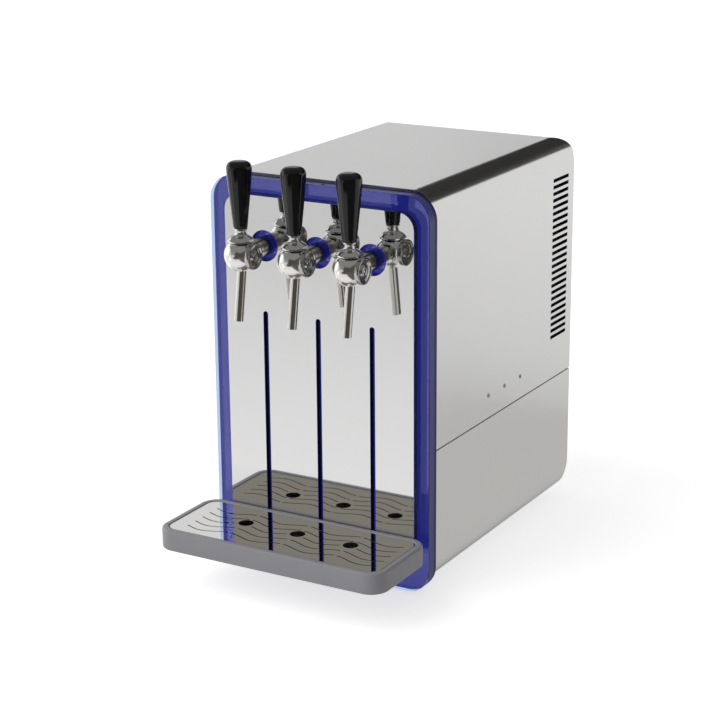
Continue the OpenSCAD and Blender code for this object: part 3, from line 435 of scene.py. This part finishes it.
STEEL["knob"] = finish(
    "dark_chrome_knob", (0.50, 0.49, 0.475), metallic=1.0, roughness=0.08, spread=0.04,
    stretch=(60.0, 60.0, 60.0), depth=0.015, smudge=0.35, smudge_scale=80.0, shade=0.9)
STEEL["lever"] = finish(
    "satin_lever_metal", (0.74, 0.73, 0.71), metallic=1.0, roughness=0.13, spread=0.06,
    stretch=(60.0, 60.0, 900.0), depth=0.03, smudge=0.35, smudge_scale=80.0, shade=0.93)
STEEL["screw"] = finish(
    "screw_steel", (0.45, 0.44, 0.43), metallic=1.0, roughness=0.30, spread=0.12,
    stretch=(500.0, 500.0, 500.0), depth=0.10, smudge=0.4, smudge_scale=120.0, shade=0.8)
print(len(STEEL), "metals")

# %% [markdown]
# Plastics, rubber and acrylic
#
# The handles are glossy black moulded plastic, and the tray is satin grey plastic. The front panel is
# clear acrylic in front of a dark blue metallic film. The film has little but black parts to mirror,
# so a faint painted blue glow stands in for the light that the clear plate carries onto it. A clear
# plate over a coloured sheet looks deep from all sides; painting the plate itself blue would not.

# %% Plastics
PLASTIC = {}
PLASTIC["handle"] = finish(
    "gloss_black_handle", (0.005, 0.005, 0.006), roughness=0.08, spread=0.04,
    stretch=(300.0, 300.0, 300.0), depth=0.012, smudge=0.5, smudge_scale=50.0, shade=1.6, wear=0.15,
    wear_colour=(0.03, 0.03, 0.03), IOR=1.46)
PLASTIC["tray"] = finish(
    "grey_tray_plastic", (0.335, 0.33, 0.355), roughness=0.34, spread=0.10,
    stretch=(700.0, 700.0, 700.0), depth=0.05, smudge=0.4, smudge_scale=20.0, shade=0.94, wear=0.4,
    wear_colour=(0.34, 0.34, 0.35))
PLASTIC["backing"] = finish(
    "black_backing_plate", (0.010, 0.010, 0.011), roughness=0.25, spread=0.08,
    stretch=(400.0, 400.0, 400.0), depth=0.03, smudge=0.4, smudge_scale=25.0, shade=1.5)
PLASTIC["rubber"] = finish(
    "black_rubber", (0.014, 0.014, 0.015), roughness=0.62, spread=0.14,
    stretch=(500.0, 500.0, 500.0), depth=0.15, smudge=0.7, smudge_scale=40.0, shade=2.2)
PLASTIC["moulded"] = finish(
    "black_moulded_plastic", (0.016, 0.016, 0.017), roughness=0.42, spread=0.12,
    stretch=(900.0, 900.0, 900.0), depth=0.12, smudge=0.5, smudge_scale=60.0, shade=1.6)
PLASTIC["rocker"] = finish(
    "red_rocker_plastic", (0.42, 0.018, 0.012), roughness=0.30, spread=0.08,
    stretch=(900.0, 900.0, 900.0), depth=0.05, smudge=0.3, smudge_scale=90.0, shade=0.8)
PLASTIC["white"] = finish(
    "white_valve_plastic", (0.72, 0.72, 0.70), roughness=0.40, spread=0.10,
    stretch=(600.0, 600.0, 600.0), depth=0.05, smudge=0.3, smudge_scale=60.0, shade=0.9)
# painted glow: the film's emission stands in for light that the clear plate carries onto it
PLASTIC["film"] = finish(
    "blue_backing_film_painted_glow", (0.008, 0.009, 0.055), metallic=1.0, roughness=0.12, spread=0.04,
    stretch=(60.0, 60.0, 4.0), depth=0.004, smudge=0.3, smudge_scale=6.0, shade=1.2,
    Emission_Color=(0.06, 0.075, 0.80, 1.0), Emission_Strength=0.22)
PLASTIC["dark_screw"] = finish(
    "black_oxide_screw", (0.03, 0.03, 0.032), metallic=1.0, roughness=0.35, spread=0.10,
    stretch=(400.0, 400.0, 400.0), depth=0.08, smudge=0.4, smudge_scale=120.0, shade=1.5)
print(len(PLASTIC), "plastics")

# %% Clear acrylic
ACRYLIC_IOR = 1.45
acrylic = bpy.data.materials.new("clear_front_acrylic")
acrylic.use_nodes = True
tree = acrylic.node_tree
shader = tree.nodes["Principled BSDF"]
shader.inputs["Base Color"].default_value = (0.93, 0.95, 1.0, 1.0)
shader.inputs["Transmission Weight"].default_value = 1.0
shader.inputs["IOR"].default_value = ACRYLIC_IOR
place = put(tree, "ShaderNodeTexCoord")
haze = add_group(tree, smudge_group, place, Scale=8.0, Amount=0.03)
ripple = add_group(tree, grain_group, place, Stretch=(15.0, 15.0, 15.0), Depth=0.003)
tree.links.new(haze.outputs["Mask"], shader.inputs["Roughness"])
tree.links.new(ripple.outputs["Normal"], shader.inputs["Normal"])
print("acrylic: index", ACRYLIC_IOR)

# %% [markdown]
# The cut edges of the panel
#
# A sawn and polished acrylic edge gathers light from the whole plate. From outside it looks purple
# grey, and seen from inside, through the front, it is a pale blue strip. Tracing that gathered light
# would take long, so a little glow stands in for it, and the back of each face gets the paler tone.

# %% Acrylic edge
edge = bpy.data.materials.new("clear_acrylic_edge")
edge.use_nodes = True
tree = edge.node_tree
shader = tree.nodes["Principled BSDF"]
shader.inputs["Roughness"].default_value = 0.32
shader.inputs["Specular IOR Level"].default_value = 0.15
place = put(tree, "ShaderNodeTexCoord")
streaks = add_group(tree, grain_group, place, Stretch=(60.0, 400.0, 60.0), Depth=0.05)
tree.links.new(streaks.outputs["Normal"], shader.inputs["Normal"])
outside = put(tree, "ShaderNodeMix", data_type="RGBA")
outside.inputs["A"].default_value = (0.035, 0.037, 0.085, 1.0)
outside.inputs["B"].default_value = (0.055, 0.06, 0.13, 1.0)
tree.links.new(streaks.outputs["Mask"], outside.inputs["Factor"])
tree.links.new(outside.outputs["Result"], shader.inputs["Base Color"])
face = put(tree, "ShaderNodeNewGeometry")
gathered = put(tree, "ShaderNodeMix", data_type="RGBA")
gathered.inputs["A"].default_value = (0.016, 0.018, 0.055, 1.0)
gathered.inputs["B"].default_value = (0.47, 0.58, 0.80, 1.0)
tree.links.new(face.outputs["Backfacing"], gathered.inputs["Factor"])
tree.links.new(gathered.outputs["Result"], shader.inputs["Emission Color"])
shader.inputs["Emission Strength"].default_value = 1.0
print("acrylic edge ready")

# %% [markdown]
# Parts inside the case
#
# Copper pipe, aluminium fins, foam and painted steel are seen only through the louvres and vents.
# They still get their own finish, because a dark slit with the right thing behind it looks deeper
# than a black one.

# %% Inner materials
INNER = {}
INNER["copper"] = finish(
    "copper_pipe", (0.75, 0.36, 0.22), metallic=1.0, roughness=0.32, spread=0.16,
    stretch=(300.0, 300.0, 300.0), depth=0.05, smudge=0.8, smudge_scale=50.0, shade=0.55)
INNER["fins"] = finish(
    "aluminium_fins", (0.70, 0.71, 0.72), metallic=1.0, roughness=0.34, spread=0.10,
    stretch=(500.0, 20.0, 500.0), depth=0.08, smudge=0.4, smudge_scale=40.0, shade=0.8)
INNER["paint"] = finish(
    "black_painted_steel", (0.012, 0.012, 0.013), roughness=0.34, spread=0.10,
    stretch=(200.0, 200.0, 200.0), depth=0.08, smudge=0.6, smudge_scale=30.0, shade=2.0)
INNER["foam"] = finish(
    "grey_foam_jacket", (0.060, 0.060, 0.066), roughness=0.85, spread=0.20,
    stretch=(350.0, 350.0, 350.0), depth=0.45, smudge=0.7, smudge_scale=60.0, shade=1.6)
INNER["brass"] = finish(
    "brass_nut", (0.66, 0.47, 0.21), metallic=1.0, roughness=0.30, spread=0.12,
    stretch=(300.0, 300.0, 300.0), depth=0.08, smudge=0.5, smudge_scale=60.0, shade=0.7)
INNER["tube"] = finish(
    "milky_beer_line", (0.62, 0.64, 0.62), roughness=0.30, spread=0.10,
    stretch=(200.0, 200.0, 200.0), depth=0.05, smudge=0.4, smudge_scale=40.0, shade=0.85)
print(len(INNER), "inner finishes")

# %% Dress the CAD parts
WEARS = {
    "hood": STEEL["case"], "base_tub": STEEL["case"], "rear_panel": STEEL["rear"],
    "deck_plate": STEEL["rear"], "front_bulkhead": STEEL["rear"], "cover_screws": STEEL["screw"],
    "feet": PLASTIC["rubber"], "clear_panel": acrylic, "blue_film": PLASTIC["film"],
    "panel_gasket": PLASTIC["rubber"], "mirror_plate": STEEL["mirror"], "backing_plate": PLASTIC["backing"],
    "panel_screw": PLASTIC["dark_screw"], "drip_tray": PLASTIC["tray"], "drip_grille": STEEL["grille"],
    "tray_studs": STEEL["screw"], "cooling_block": INNER["fins"], "block_insulation": INNER["foam"],
    "beer_lines": INNER["tube"], "beer_inlets": STEEL["chrome"], "compressor": INNER["paint"],
    "compressor_mounts": PLASTIC["rubber"], "condenser": INNER["fins"], "fan_shroud": PLASTIC["moulded"],
    "fan_motor": INNER["paint"], "fan_blades": PLASTIC["moulded"], "refrigerant_pipe": INNER["copper"],
    "filter_drier": INNER["copper"], "thermostat": PLASTIC["white"], "thermostat_knob": PLASTIC["moulded"],
    "switch_body": PLASTIC["moulded"], "switch_rocker": PLASTIC["rocker"], "mains_inlet": PLASTIC["moulded"],
}
TAP_WEARS = {
    "shank": STEEL["sleeve"], "shank_nut": INNER["brass"], "tap_body": STEEL["ball"],
    "spout": STEEL["spout"], "plunger": PLASTIC["white"], "lever": STEEL["lever"],
    "handle": PLASTIC["handle"], "flow_knob": STEEL["knob"],
}
for stem, material in TAP_WEARS.items():
    for side in SIDES:
        WEARS[f"{stem}_{side}"] = material
for name, piece in NODES.items():
    coat(piece, WEARS[name])
print("dressed", len(NODES), "parts")

# %% [markdown]
# The handles
#
# Each handle is one glossy moulding, slim at its foot, widest just below its round head. It could be
# lofted from circles, but on a lathe it takes one outline: the points go up the side and over the
# head, and a spin closes the body.

# %% Handles
foot = TAP_Z + NECK_Z
side_line = [(0.0, 0.0), (7.6, 0.0), (8.4, 0.3), (8.9, 1.2), (9.2, 3.0), (9.7, 9.0), (10.6, 17.0),
             (11.5, 26.0), (12.6, 36.0), (13.7, 46.0), (14.7, 56.0), (15.5, 65.0), (15.85, 70.0), (15.9, 73.0)]
shoulder = arc((7.9, 75.0), 8.0, 4.0, 62.0, 7)
crown = [(9.6, 83.1), (6.0, 83.7), (2.5, 83.95), (0.0, HANDLE_L)]
handle = turned("handle_master", side_line + shoulder + crown, (TAP_X["middle"], TAP_Y, foot), steps=72)
coat(handle, PLASTIC["handle"])
handles = copy_to_taps(handle, "handle", lambda side: f"lever_{side}")
for side, piece in handles.items():
    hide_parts(f"handle_{side}")
print("handle faces:", len(handles["left"].data.polygons))

# %% [markdown]
# The levers
#
# Under each handle a short neck widens into a cap that rides over the ball and hides the slot
# below it. The cap has a thick rolled rim, and it is cut off straight beside the flow knob, so the
# two never touch. A spin makes the cap, and a bisect makes the cut.

# %% Levers
MIDDLE_BALL = (TAP_X["middle"], TAP_Y, TAP_Z)
CUT_GAP = 0.1
neck = [(0.0, 34.6), (8.2, 34.6), (8.8, 34.2), (8.8, 33.2), (8.1, 32.5), (7.5, 31.4), (7.1, 30.0),
        (7.1, 28.0), (7.5, 26.4), (8.6, 25.3)]
cap = [(10.4, 24.5), (12.4, 23.5), (14.2, 22.0), (15.6, 20.2)]
rim = [(16.5, 19.6), (17.0, 18.7), (16.9, 17.6), (16.2, 16.9), (15.4, 17.0), (14.8, 17.7), (14.0, 18.3)]
underside = [(0.0, 21.9)]
lever = turned("lever_master", neck + cap + rim + underside, MIDDLE_BALL, steps=72)
bpy.ops.object.mode_set(mode="EDIT")
bpy.ops.mesh.select_all(action="SELECT")
bpy.ops.mesh.bisect(plane_co=((TAP_X["middle"] + FLAT_X - CUT_GAP) * MM, 0, 0), plane_no=(1, 0, 0),
                    use_fill=True, clear_outer=True)
bpy.ops.object.mode_set(mode="OBJECT")
stem_line = [(0.0, 2.0), (2.9, 2.0), (2.9, 22.2), (0.0, 22.2)]
stem = turned("stem_master", stem_line, MIDDLE_BALL, steps=24)
join_into(lever, stem)
coat(lever, STEEL["lever"])
levers = copy_to_taps(lever, "lever", lambda side: f"lever_{side}")
for side, piece in levers.items():
    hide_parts(f"lever_{side}")
print("lever faces:", len(levers["left"].data.polygons))

# %% [markdown]
# The flow knobs
#
# On the right of each ball a dished cap of darker chrome sets the flow. From outside in it has a
# rounded rim, a hollow with two steps and a small button in the middle, all turned on one axis.

# %% Flow knobs
MIDDLE_FLAT = (TAP_X["middle"] + FLAT_X, TAP_Y, TAP_Z)
knob_rim = [(0.0, 0.4), (15.9, 0.4), (16.6, 0.8), (17.0, 1.6), (17.0, 4.6), (16.8, 5.6), (16.2, 6.2),
            (15.4, 6.35), (14.7, 6.1), (14.3, 5.4), (13.9, 4.6)]
hollow = [(11.6, 4.0), (11.2, 3.4), (8.6, 3.0), (7.4, 3.1), (6.8, 3.8)]
button = [(6.5, 5.0), (5.8, 5.9), (4.4, 6.25), (3.6, 5.9), (2.4, 5.8), (1.2, 6.1), (0.0, 6.2)]
knob = turned("flow_knob_master", knob_rim + hollow + button, MIDDLE_FLAT, axis="X", steps=64)
spindle_line = [(0.0, -2.2), (3.8, -2.2), (3.8, 1.0), (0.0, 1.0)]
spindle = turned("spindle_master", spindle_line, MIDDLE_FLAT, axis="X", steps=24)
join_into(knob, spindle)
coat(knob, STEEL["knob"])
knobs = copy_to_taps(knob, "flow_knob", lambda side: f"flow_knob_{side}")
for side, piece in knobs.items():
    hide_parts(f"flow_knob_{side}")
print("knob faces:", len(knobs["left"].data.polygons))

# %% [markdown]
# The drip tray
#
# The tray is a moulded bowl with a thick soft rim. It starts as a block: the four upright edges are
# rounded, the top is inset for the rim and pushed down for the grille, inset again for the grille's
# ledge and pushed down for the bowl, and the edges that run round it are rounded last.

# %% Drip tray
LEDGE_WIDTH = 4.0
GRILLE_DROP, LEDGE_DROP, BOWL_DROP = 2.4, 2.5, 20.1
NEAR_LEVEL, NEAR_OUTLINE = 0.05, 0.6  # how close an edge must be to count, in mm


def depth_inside(p):
    """How far a point lies inside the tray's round-cornered outline, in mm."""
    half_y = (TRAY["back"] - TRAY["front"]) / 2
    over_x = abs(p.x) - (TRAY["x"] - TRAY["r"])
    over_y = abs(p.y - (TRAY["back"] + TRAY["front"]) / 2) - (half_y - TRAY["r"])
    return TRAY["r"] - math.hypot(max(over_x, 0), max(over_y, 0)) - min(max(over_x, over_y), 0)


def push_down(drop):
    """Extrudes the picked faces straight down."""
    bpy.ops.mesh.extrude_region_move(TRANSFORM_OT_translate={"value": (0, 0, -drop * MM)})


def round_outline(piece, height, inset, radius, segments):
    """Rounds the edges that run round the tray at a height, a given way inside its outline."""
    pick(piece, "edges", lambda p, a: (abs(p.z - height) < NEAR_LEVEL
                                       and abs(depth_inside(p) - inset) < NEAR_OUTLINE))
    bpy.ops.mesh.bevel(offset=radius * MM, segments=segments, affect="EDGES")


low = (-TRAY["x"], TRAY["front"], TRAY["foot"])
high = (TRAY["x"], TRAY["back"], TRAY["top"])
tray = block("drip_tray_look", low, high)
found = pick(tray, "edges", lambda p, a: abs(a.z) > 0.9)
bpy.ops.mesh.bevel(offset=TRAY["r"] * MM, segments=14, affect="EDGES")
pick(tray, "faces", lambda p, n: n.z > 0.9)
bpy.ops.mesh.inset(thickness=TRAY["rim"] * MM)
push_down(GRILLE_DROP)
bpy.ops.mesh.inset(thickness=LEDGE_WIDTH * MM)
push_down(LEDGE_DROP)
push_down(BOWL_DROP)
round_outline(tray, TRAY["top"], 0.0, radius=3.4, segments=6)
round_outline(tray, TRAY["top"], TRAY["rim"], radius=1.8, segments=4)
round_outline(tray, TRAY["foot"], 0.0, radius=2.5, segments=4)
finish_piece(tray, 40.0)
coat(tray, PLASTIC["tray"])
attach(tray, "tray")
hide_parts("drip_tray")
print("tray corners rounded:", found, "faces:", len(tray.data.polygons))

# %% [markdown]
# The clear front panel
#
# The panel is a thick acrylic plate with polished, slightly broken edges. The CAD plate touches the
# film behind it, and two faces in one place confuse a ray, so this one stops a quarter of a
# millimetre short of it. Its holes are cut with a boolean, where the threaded tubes pass.

# %% Clear panel
FRONT_GAP, BACK_GAP = 0.15, 0.25
BROKEN_EDGE, SLEEVE_R = 0.7, 11.1
DRILL_LENGTH = 0.04
low = (-PANEL["x"], PANEL["front"] + FRONT_GAP, PANEL["foot"])
high = (PANEL["x"], PANEL["back"] - BACK_GAP, PANEL["top"])
panel = block("clear_panel_look", low, high)
pick(panel, "edges", lambda p, a: abs(a.y) > 0.9)
bpy.ops.mesh.bevel(offset=PANEL["r"] * MM, segments=20, affect="EDGES")
pick(panel, "edges", lambda p, a: abs(a.y) < 0.1)
bpy.ops.mesh.bevel(offset=BROKEN_EDGE * MM, segments=2, affect="EDGES")
bpy.ops.object.mode_set(mode="OBJECT")
for side in SIDES:
    clear_selection()
    bpy.ops.mesh.primitive_cylinder_add(
        vertices=48, radius=SLEEVE_R * MM, depth=DRILL_LENGTH, rotation=(math.pi / 2, 0, 0),
        location=(TAP_X[side] * MM, PANEL_MIDDLE_Y * MM, TAP_Z * MM))
    drill = bpy.context.object
    apply_modifier(panel, "BOOLEAN", object=drill, operation="DIFFERENCE", solver="EXACT")
    bpy.data.objects.remove(drill, do_unlink=True)
finish_piece(panel, 20.0)
coat(panel, acrylic, edge)
HOLE_REACH = 20.0  # faces nearer than this to a tap's axis are walls of its hole
rims = 0
for face in panel.data.polygons:
    x, z = face.center.x / MM, face.center.z / MM
    from_axis = min(math.hypot(x - tap_x, z - TAP_Z) for tap_x in TAP_X.values())
    if abs(face.normal.y) < 0.3 and from_axis > HOLE_REACH:
        face.material_index = 1
        rims += 1
print("edge faces:", rims)
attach(panel, "cabinet")
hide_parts("clear_panel")
print("panel faces:", len(panel.data.polygons))

# %% [markdown]
# Screws
#
# The cover is held by pan-head screws, three on each side, with a cross recess each. The head comes
# off the lathe in one outline, two thin bars pressed into it leave the cross, and the finished screw
# is copied. The panel's own screw shows only as a dark dot in the clear edge.

# %% Cover screws and panel screw
RECESS_FLOOR, BAR_LENGTH, BAR_WIDTH = 0.1, 2.0, 0.6  # length and width are halves
head_line = [(0.0, -0.6), (3.1, -0.6), (3.15, -0.1), (3.0, 0.35), (2.6, 0.7), (2.0, 0.87), (1.2, 0.9),
             (0.0, 0.9)]
head = turned("cover_screw_master", head_line, (COVER_X, 0.0, COVER_Z), axis="X", steps=32)
for half_y, half_z in ((BAR_LENGTH, BAR_WIDTH), (BAR_WIDTH, BAR_LENGTH)):
    low = (COVER_X + RECESS_FLOOR, -half_y, COVER_Z - half_z)
    high = (COVER_X + 2.0, half_y, COVER_Z + half_z)
    slot = block("recess_cutter", low, high)
    bpy.ops.object.mode_set(mode="OBJECT")
    apply_modifier(head, "BOOLEAN", object=slot, operation="DIFFERENCE", solver="EXACT")
    bpy.data.objects.remove(slot, do_unlink=True)
coat(head, STEEL["screw"])
heads = []
for number, along in enumerate(COVER_Y):
    for side, half_turn in (("right", 0.0), ("left", math.pi)):
        piece = head.copy()
        piece.data = head.data.copy()
        piece.name = f"cover_screw_{number}_{side}_look"
        bpy.context.scene.collection.objects.link(piece)
        piece.rotation_euler = (0.0, 0.0, half_turn)
        piece.location = (0.0, along * MM, 0.0)
        finish_piece(piece)
        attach(piece, "cabinet")
        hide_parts("cover_screws")
        heads.append(piece)
bpy.data.objects.remove(head, do_unlink=True)
dot_line = [(0.0, 0.0), (1.7, 0.0), (1.8, 0.5), (1.4, 0.9), (0.6, 1.0), (0.0, 1.0)]
dot = turned("panel_screw_look", dot_line, (TAP_X["middle"], PANEL_MIDDLE_Y, PANEL["top"] + 0.05), steps=24)
finish_piece(dot)
coat(dot, PLASTIC["dark_screw"])
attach(dot, "cabinet")
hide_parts("panel_screw")
print("cover screws:", len(heads))

# %% [markdown]
# The studio
#
# The floor is pale and wide, and a soft sun from the front left lights it evenly, so the picture has
# no dark corners. Metal shows whatever stands around it. The photograph's room could be built whole,
# but flat cards are enough: a grey ceiling that is dark above the rear, brown grey in front, dark on
# the right and light on the left. Only reflections see the cards.

# %% Floor
FLOOR_SIZE, FLOOR_Z = 40.0, -0.0005
FLOOR_TONE, FLOOR_GLOW = 0.74, 0.68  # the glow makes it white for the camera and through the panel
RAMP_REACH = 2.0  # reflections see a painted glow on the floor, whose tone changes from front to rear over this reach
RAMP_FIRST, RAMP_LAST = 0.20, 0.50
# painted glow for reflections: dim far in front, lighter just before the tray, dimmest alongside the front of
# the case, lighter behind it
RAMP_BETWEEN = ((0.05, 0.20), (0.375, 0.44), (0.48, 0.12), (0.72, 0.40))
clear_selection()
bpy.ops.mesh.primitive_plane_add(size=FLOOR_SIZE, location=(0, 0, FLOOR_Z))
floor = bpy.context.object
floor.name = "studio_floor"
bpy.ops.object.transform_apply(location=True, rotation=True, scale=True)
pale = bpy.data.materials.new("pale_floor")
pale.use_nodes = True
tree = pale.node_tree
shader = tree.nodes["Principled BSDF"]
shader.inputs["Base Color"].default_value = (FLOOR_TONE, FLOOR_TONE, FLOOR_TONE, 1.0)
shader.inputs["Roughness"].default_value = 0.8
shader.inputs["Specular IOR Level"].default_value = 0.1
rays = put(tree, "ShaderNodeLightPath")
ways = put(tree, "ShaderNodeTexCoord")
parts = put(tree, "ShaderNodeSeparateXYZ")
span = put(tree, "ShaderNodeMapRange")
span.inputs["From Min"].default_value = -RAMP_REACH
span.inputs["From Max"].default_value = RAMP_REACH
shown = put(tree, "ShaderNodeValToRGB")
for where, tone in RAMP_BETWEEN:
    stop = shown.color_ramp.elements.new(where)
    stop.color = (tone, tone, tone, 1.0)
shown.color_ramp.elements[0].color = (RAMP_FIRST, RAMP_FIRST, RAMP_FIRST, 1.0)
shown.color_ramp.elements[-1].color = (RAMP_LAST, RAMP_LAST, RAMP_LAST, 1.0)
through = put(tree, "ShaderNodeMath", operation="MAXIMUM")
plain = put(tree, "ShaderNodeMath", operation="MULTIPLY")
plain.inputs[1].default_value = FLOOR_GLOW
mirrored = put(tree, "ShaderNodeMath", operation="MULTIPLY")
glow = put(tree, "ShaderNodeMath", operation="ADD")
tree.links.new(ways.outputs["Object"], parts.inputs[0])
tree.links.new(parts.outputs["Y"], span.inputs["Value"])
tree.links.new(span.outputs["Result"], shown.inputs["Fac"])
tree.links.new(rays.outputs["Is Camera Ray"], through.inputs[0])
tree.links.new(rays.outputs["Is Transmission Ray"], through.inputs[1])
tree.links.new(through.outputs[0], plain.inputs[0])
tree.links.new(shown.outputs["Color"], mirrored.inputs[0])
tree.links.new(rays.outputs["Is Glossy Ray"], mirrored.inputs[1])
tree.links.new(plain.outputs[0], glow.inputs[0])
tree.links.new(mirrored.outputs[0], glow.inputs[1])
shader.inputs["Emission Color"].default_value = (1.0, 1.0, 1.0, 1.0)
tree.links.new(glow.outputs[0], shader.inputs["Emission Strength"])
floor.data.materials.append(pale)
print("floor ready")

# %% World
WHITE, MIRRORED_WORLD = 1.0, 0.75  # what the camera sees, and what reflections see
LIGHT_LEFT, LIGHT_RIGHT = 0.66, 0.16  # how the world lights the object from either side
world = bpy.data.worlds.new("studio_world")
bpy.context.scene.world = world
world.use_nodes = True
tree = world.node_tree
background = tree.nodes["Background"]
rays = put(tree, "ShaderNodeLightPath")
through = put(tree, "ShaderNodeMath", operation="MAXIMUM")
ways = put(tree, "ShaderNodeTexCoord")
parts = put(tree, "ShaderNodeSeparateXYZ")
side_light = put(tree, "ShaderNodeMapRange")
side_light.inputs["From Min"].default_value = -1.0
side_light.inputs["From Max"].default_value = 1.0
side_light.inputs["To Min"].default_value = LIGHT_LEFT
side_light.inputs["To Max"].default_value = LIGHT_RIGHT
mirrored = put(tree, "ShaderNodeMix")
mirrored.inputs["B"].default_value = MIRRORED_WORLD
level = put(tree, "ShaderNodeMix")
level.inputs["B"].default_value = WHITE
tree.links.new(rays.outputs["Is Camera Ray"], through.inputs[0])
tree.links.new(rays.outputs["Is Transmission Ray"], through.inputs[1])
tree.links.new(ways.outputs["Generated"], parts.inputs[0])
tree.links.new(parts.outputs["X"], side_light.inputs["Value"])
tree.links.new(side_light.outputs["Result"], mirrored.inputs["A"])
tree.links.new(rays.outputs["Is Glossy Ray"], mirrored.inputs["Factor"])
tree.links.new(mirrored.outputs["Result"], level.inputs["A"])
tree.links.new(through.outputs[0], level.inputs["Factor"])
tree.links.new(level.outputs["Result"], background.inputs["Strength"])
background.inputs["Color"].default_value = (1.0, 1.0, 1.0, 1.0)
print("world ready")


# %% Soft sun
def soft_sun(name, towards, strength, angle):
    """A wide sun that shines along a direction; reflections don't show its disc."""
    data = bpy.data.lights.new(name, "SUN")
    data.energy = strength
    data.angle = math.radians(angle)
    lamp = bpy.data.objects.new(name, data)
    bpy.context.scene.collection.objects.link(lamp)
    lamp.rotation_euler = Vector(towards).to_track_quat("-Z", "Y").to_euler()
    lamp.visible_glossy = False
    return lamp


key_sun = soft_sun("key_sun", towards=(0.55, 0.62, -0.75), strength=1.15, angle=50.0)
print("lamp:", key_sun.name)


# %% A card that only reflections see
def card(name, corners, colour):
    """A plain glowing rectangle, seen only by glossy rays."""
    clear_selection()
    bpy.ops.mesh.primitive_plane_add(size=1.0)
    piece = bpy.context.object
    piece.name = name
    for vertex, place in zip(piece.data.vertices, corners):
        vertex.co = place
    material = bpy.data.materials.new(name + "_tone")
    material.use_nodes = True
    tree = material.node_tree
    tree.nodes.remove(tree.nodes["Principled BSDF"])
    light = put(tree, "ShaderNodeEmission")
    light.inputs["Color"].default_value = (*colour, 1.0)
    tree.links.new(light.outputs[0], tree.nodes["Material Output"].inputs["Surface"])
    piece.data.materials.append(material)
    piece.visible_camera = False
    piece.visible_diffuse = False
    piece.visible_transmission = False
    piece.visible_volume_scatter = False
    piece.visible_shadow = False
    return piece


def lying(height, *corners):
    """Four corners of a level card, given as (x, y) pairs."""
    return [(x, y, height) for x, y in corners]


def upright(start, end, low, high):
    """Four corners of an upright card that stands on a line from start to end."""
    return [(*start, low), (*end, low), (*start, high), (*end, high)]


print("card helpers ready")

# %% The cards, as corners in metres and a tone
CEILING, ON_FLOOR = 3.0, 0.002
DARK = (0.035, 0.034, 0.032)
CARDS = {
    "ceiling_card": (lying(CEILING, (-6, -6), (6, -6), (-6, 3), (6, 3)), (0.23, 0.227, 0.22)),
    "rear_ceiling_card": (lying(CEILING, (-1.5, 3), (6, 3), (-3.8, 8), (8, 8)), DARK),
    "far_ceiling_card": (lying(CEILING, (-3.1, 8), (8, 8), (-5.5, 14.5), (12, 14.5)), DARK),
    "far_right_card": (upright((5.5, 14.5), (12, 14.5), 1.0, CEILING), DARK),
    "front_card": (upright((-4.6, -5), (-1.2, -5), 0.9, 2.9), (0.29, 0.275, 0.24)),
    "behind_camera_card": (upright((-1.2, -5.2), (3.2, -5.2), 0.0, CEILING), (0.07, 0.067, 0.062)),
    "right_card": (upright((3.0, -5.2), (3.0, -0.35), 0.0, CEILING), (0.08, 0.075, 0.068)),
    # cards laid on the floor change only how the floor looks in reflections: the right and front ones darken
    # it there
    "right_floor_card": (
        lying(ON_FLOOR, (0.32, -5.2), (3.0, -5.2), (0.32, -0.34), (3.0, -0.34)), (0.11, 0.102, 0.092)),
    "front_floor_card": (
        lying(ON_FLOOR, (-2.3, -5.2), (0.32, -5.2), (-0.52, -1.6), (0.32, -1.6)), (0.05, 0.048, 0.045)),
    # painted light: a pale card beside the case hides the case's shadow on the floor in reflections
    "side_floor_painted_light_card": (
        lying(ON_FLOOR, (0.17, -0.16), (0.5, -0.16), (0.17, 0.6), (0.5, 0.6)), (0.655, 0.65, 0.635)),
    "left_streak_card": (
        lying(ON_FLOOR, (-2.75, -2.2), (-2.5, -2.45), (-0.79, -0.80), (-0.70, -0.88)), (2.0, 2.0, 1.96)),
    "left_floor_card": (
        lying(ON_FLOOR, (-3.5, -0.45), (-0.5, -0.45), (-3.5, 1.5), (-0.5, 1.5)), (1.1, 1.1, 1.09)),
    "left_wall_card": (upright((-3.6, -2.4), (-3.6, 1.5), 0.0, 2.4), (1.25, 1.25, 1.24)),
}
for name, (corners, tone) in CARDS.items():
    card(name, corners, tone)
print("cards:", len(CARDS))
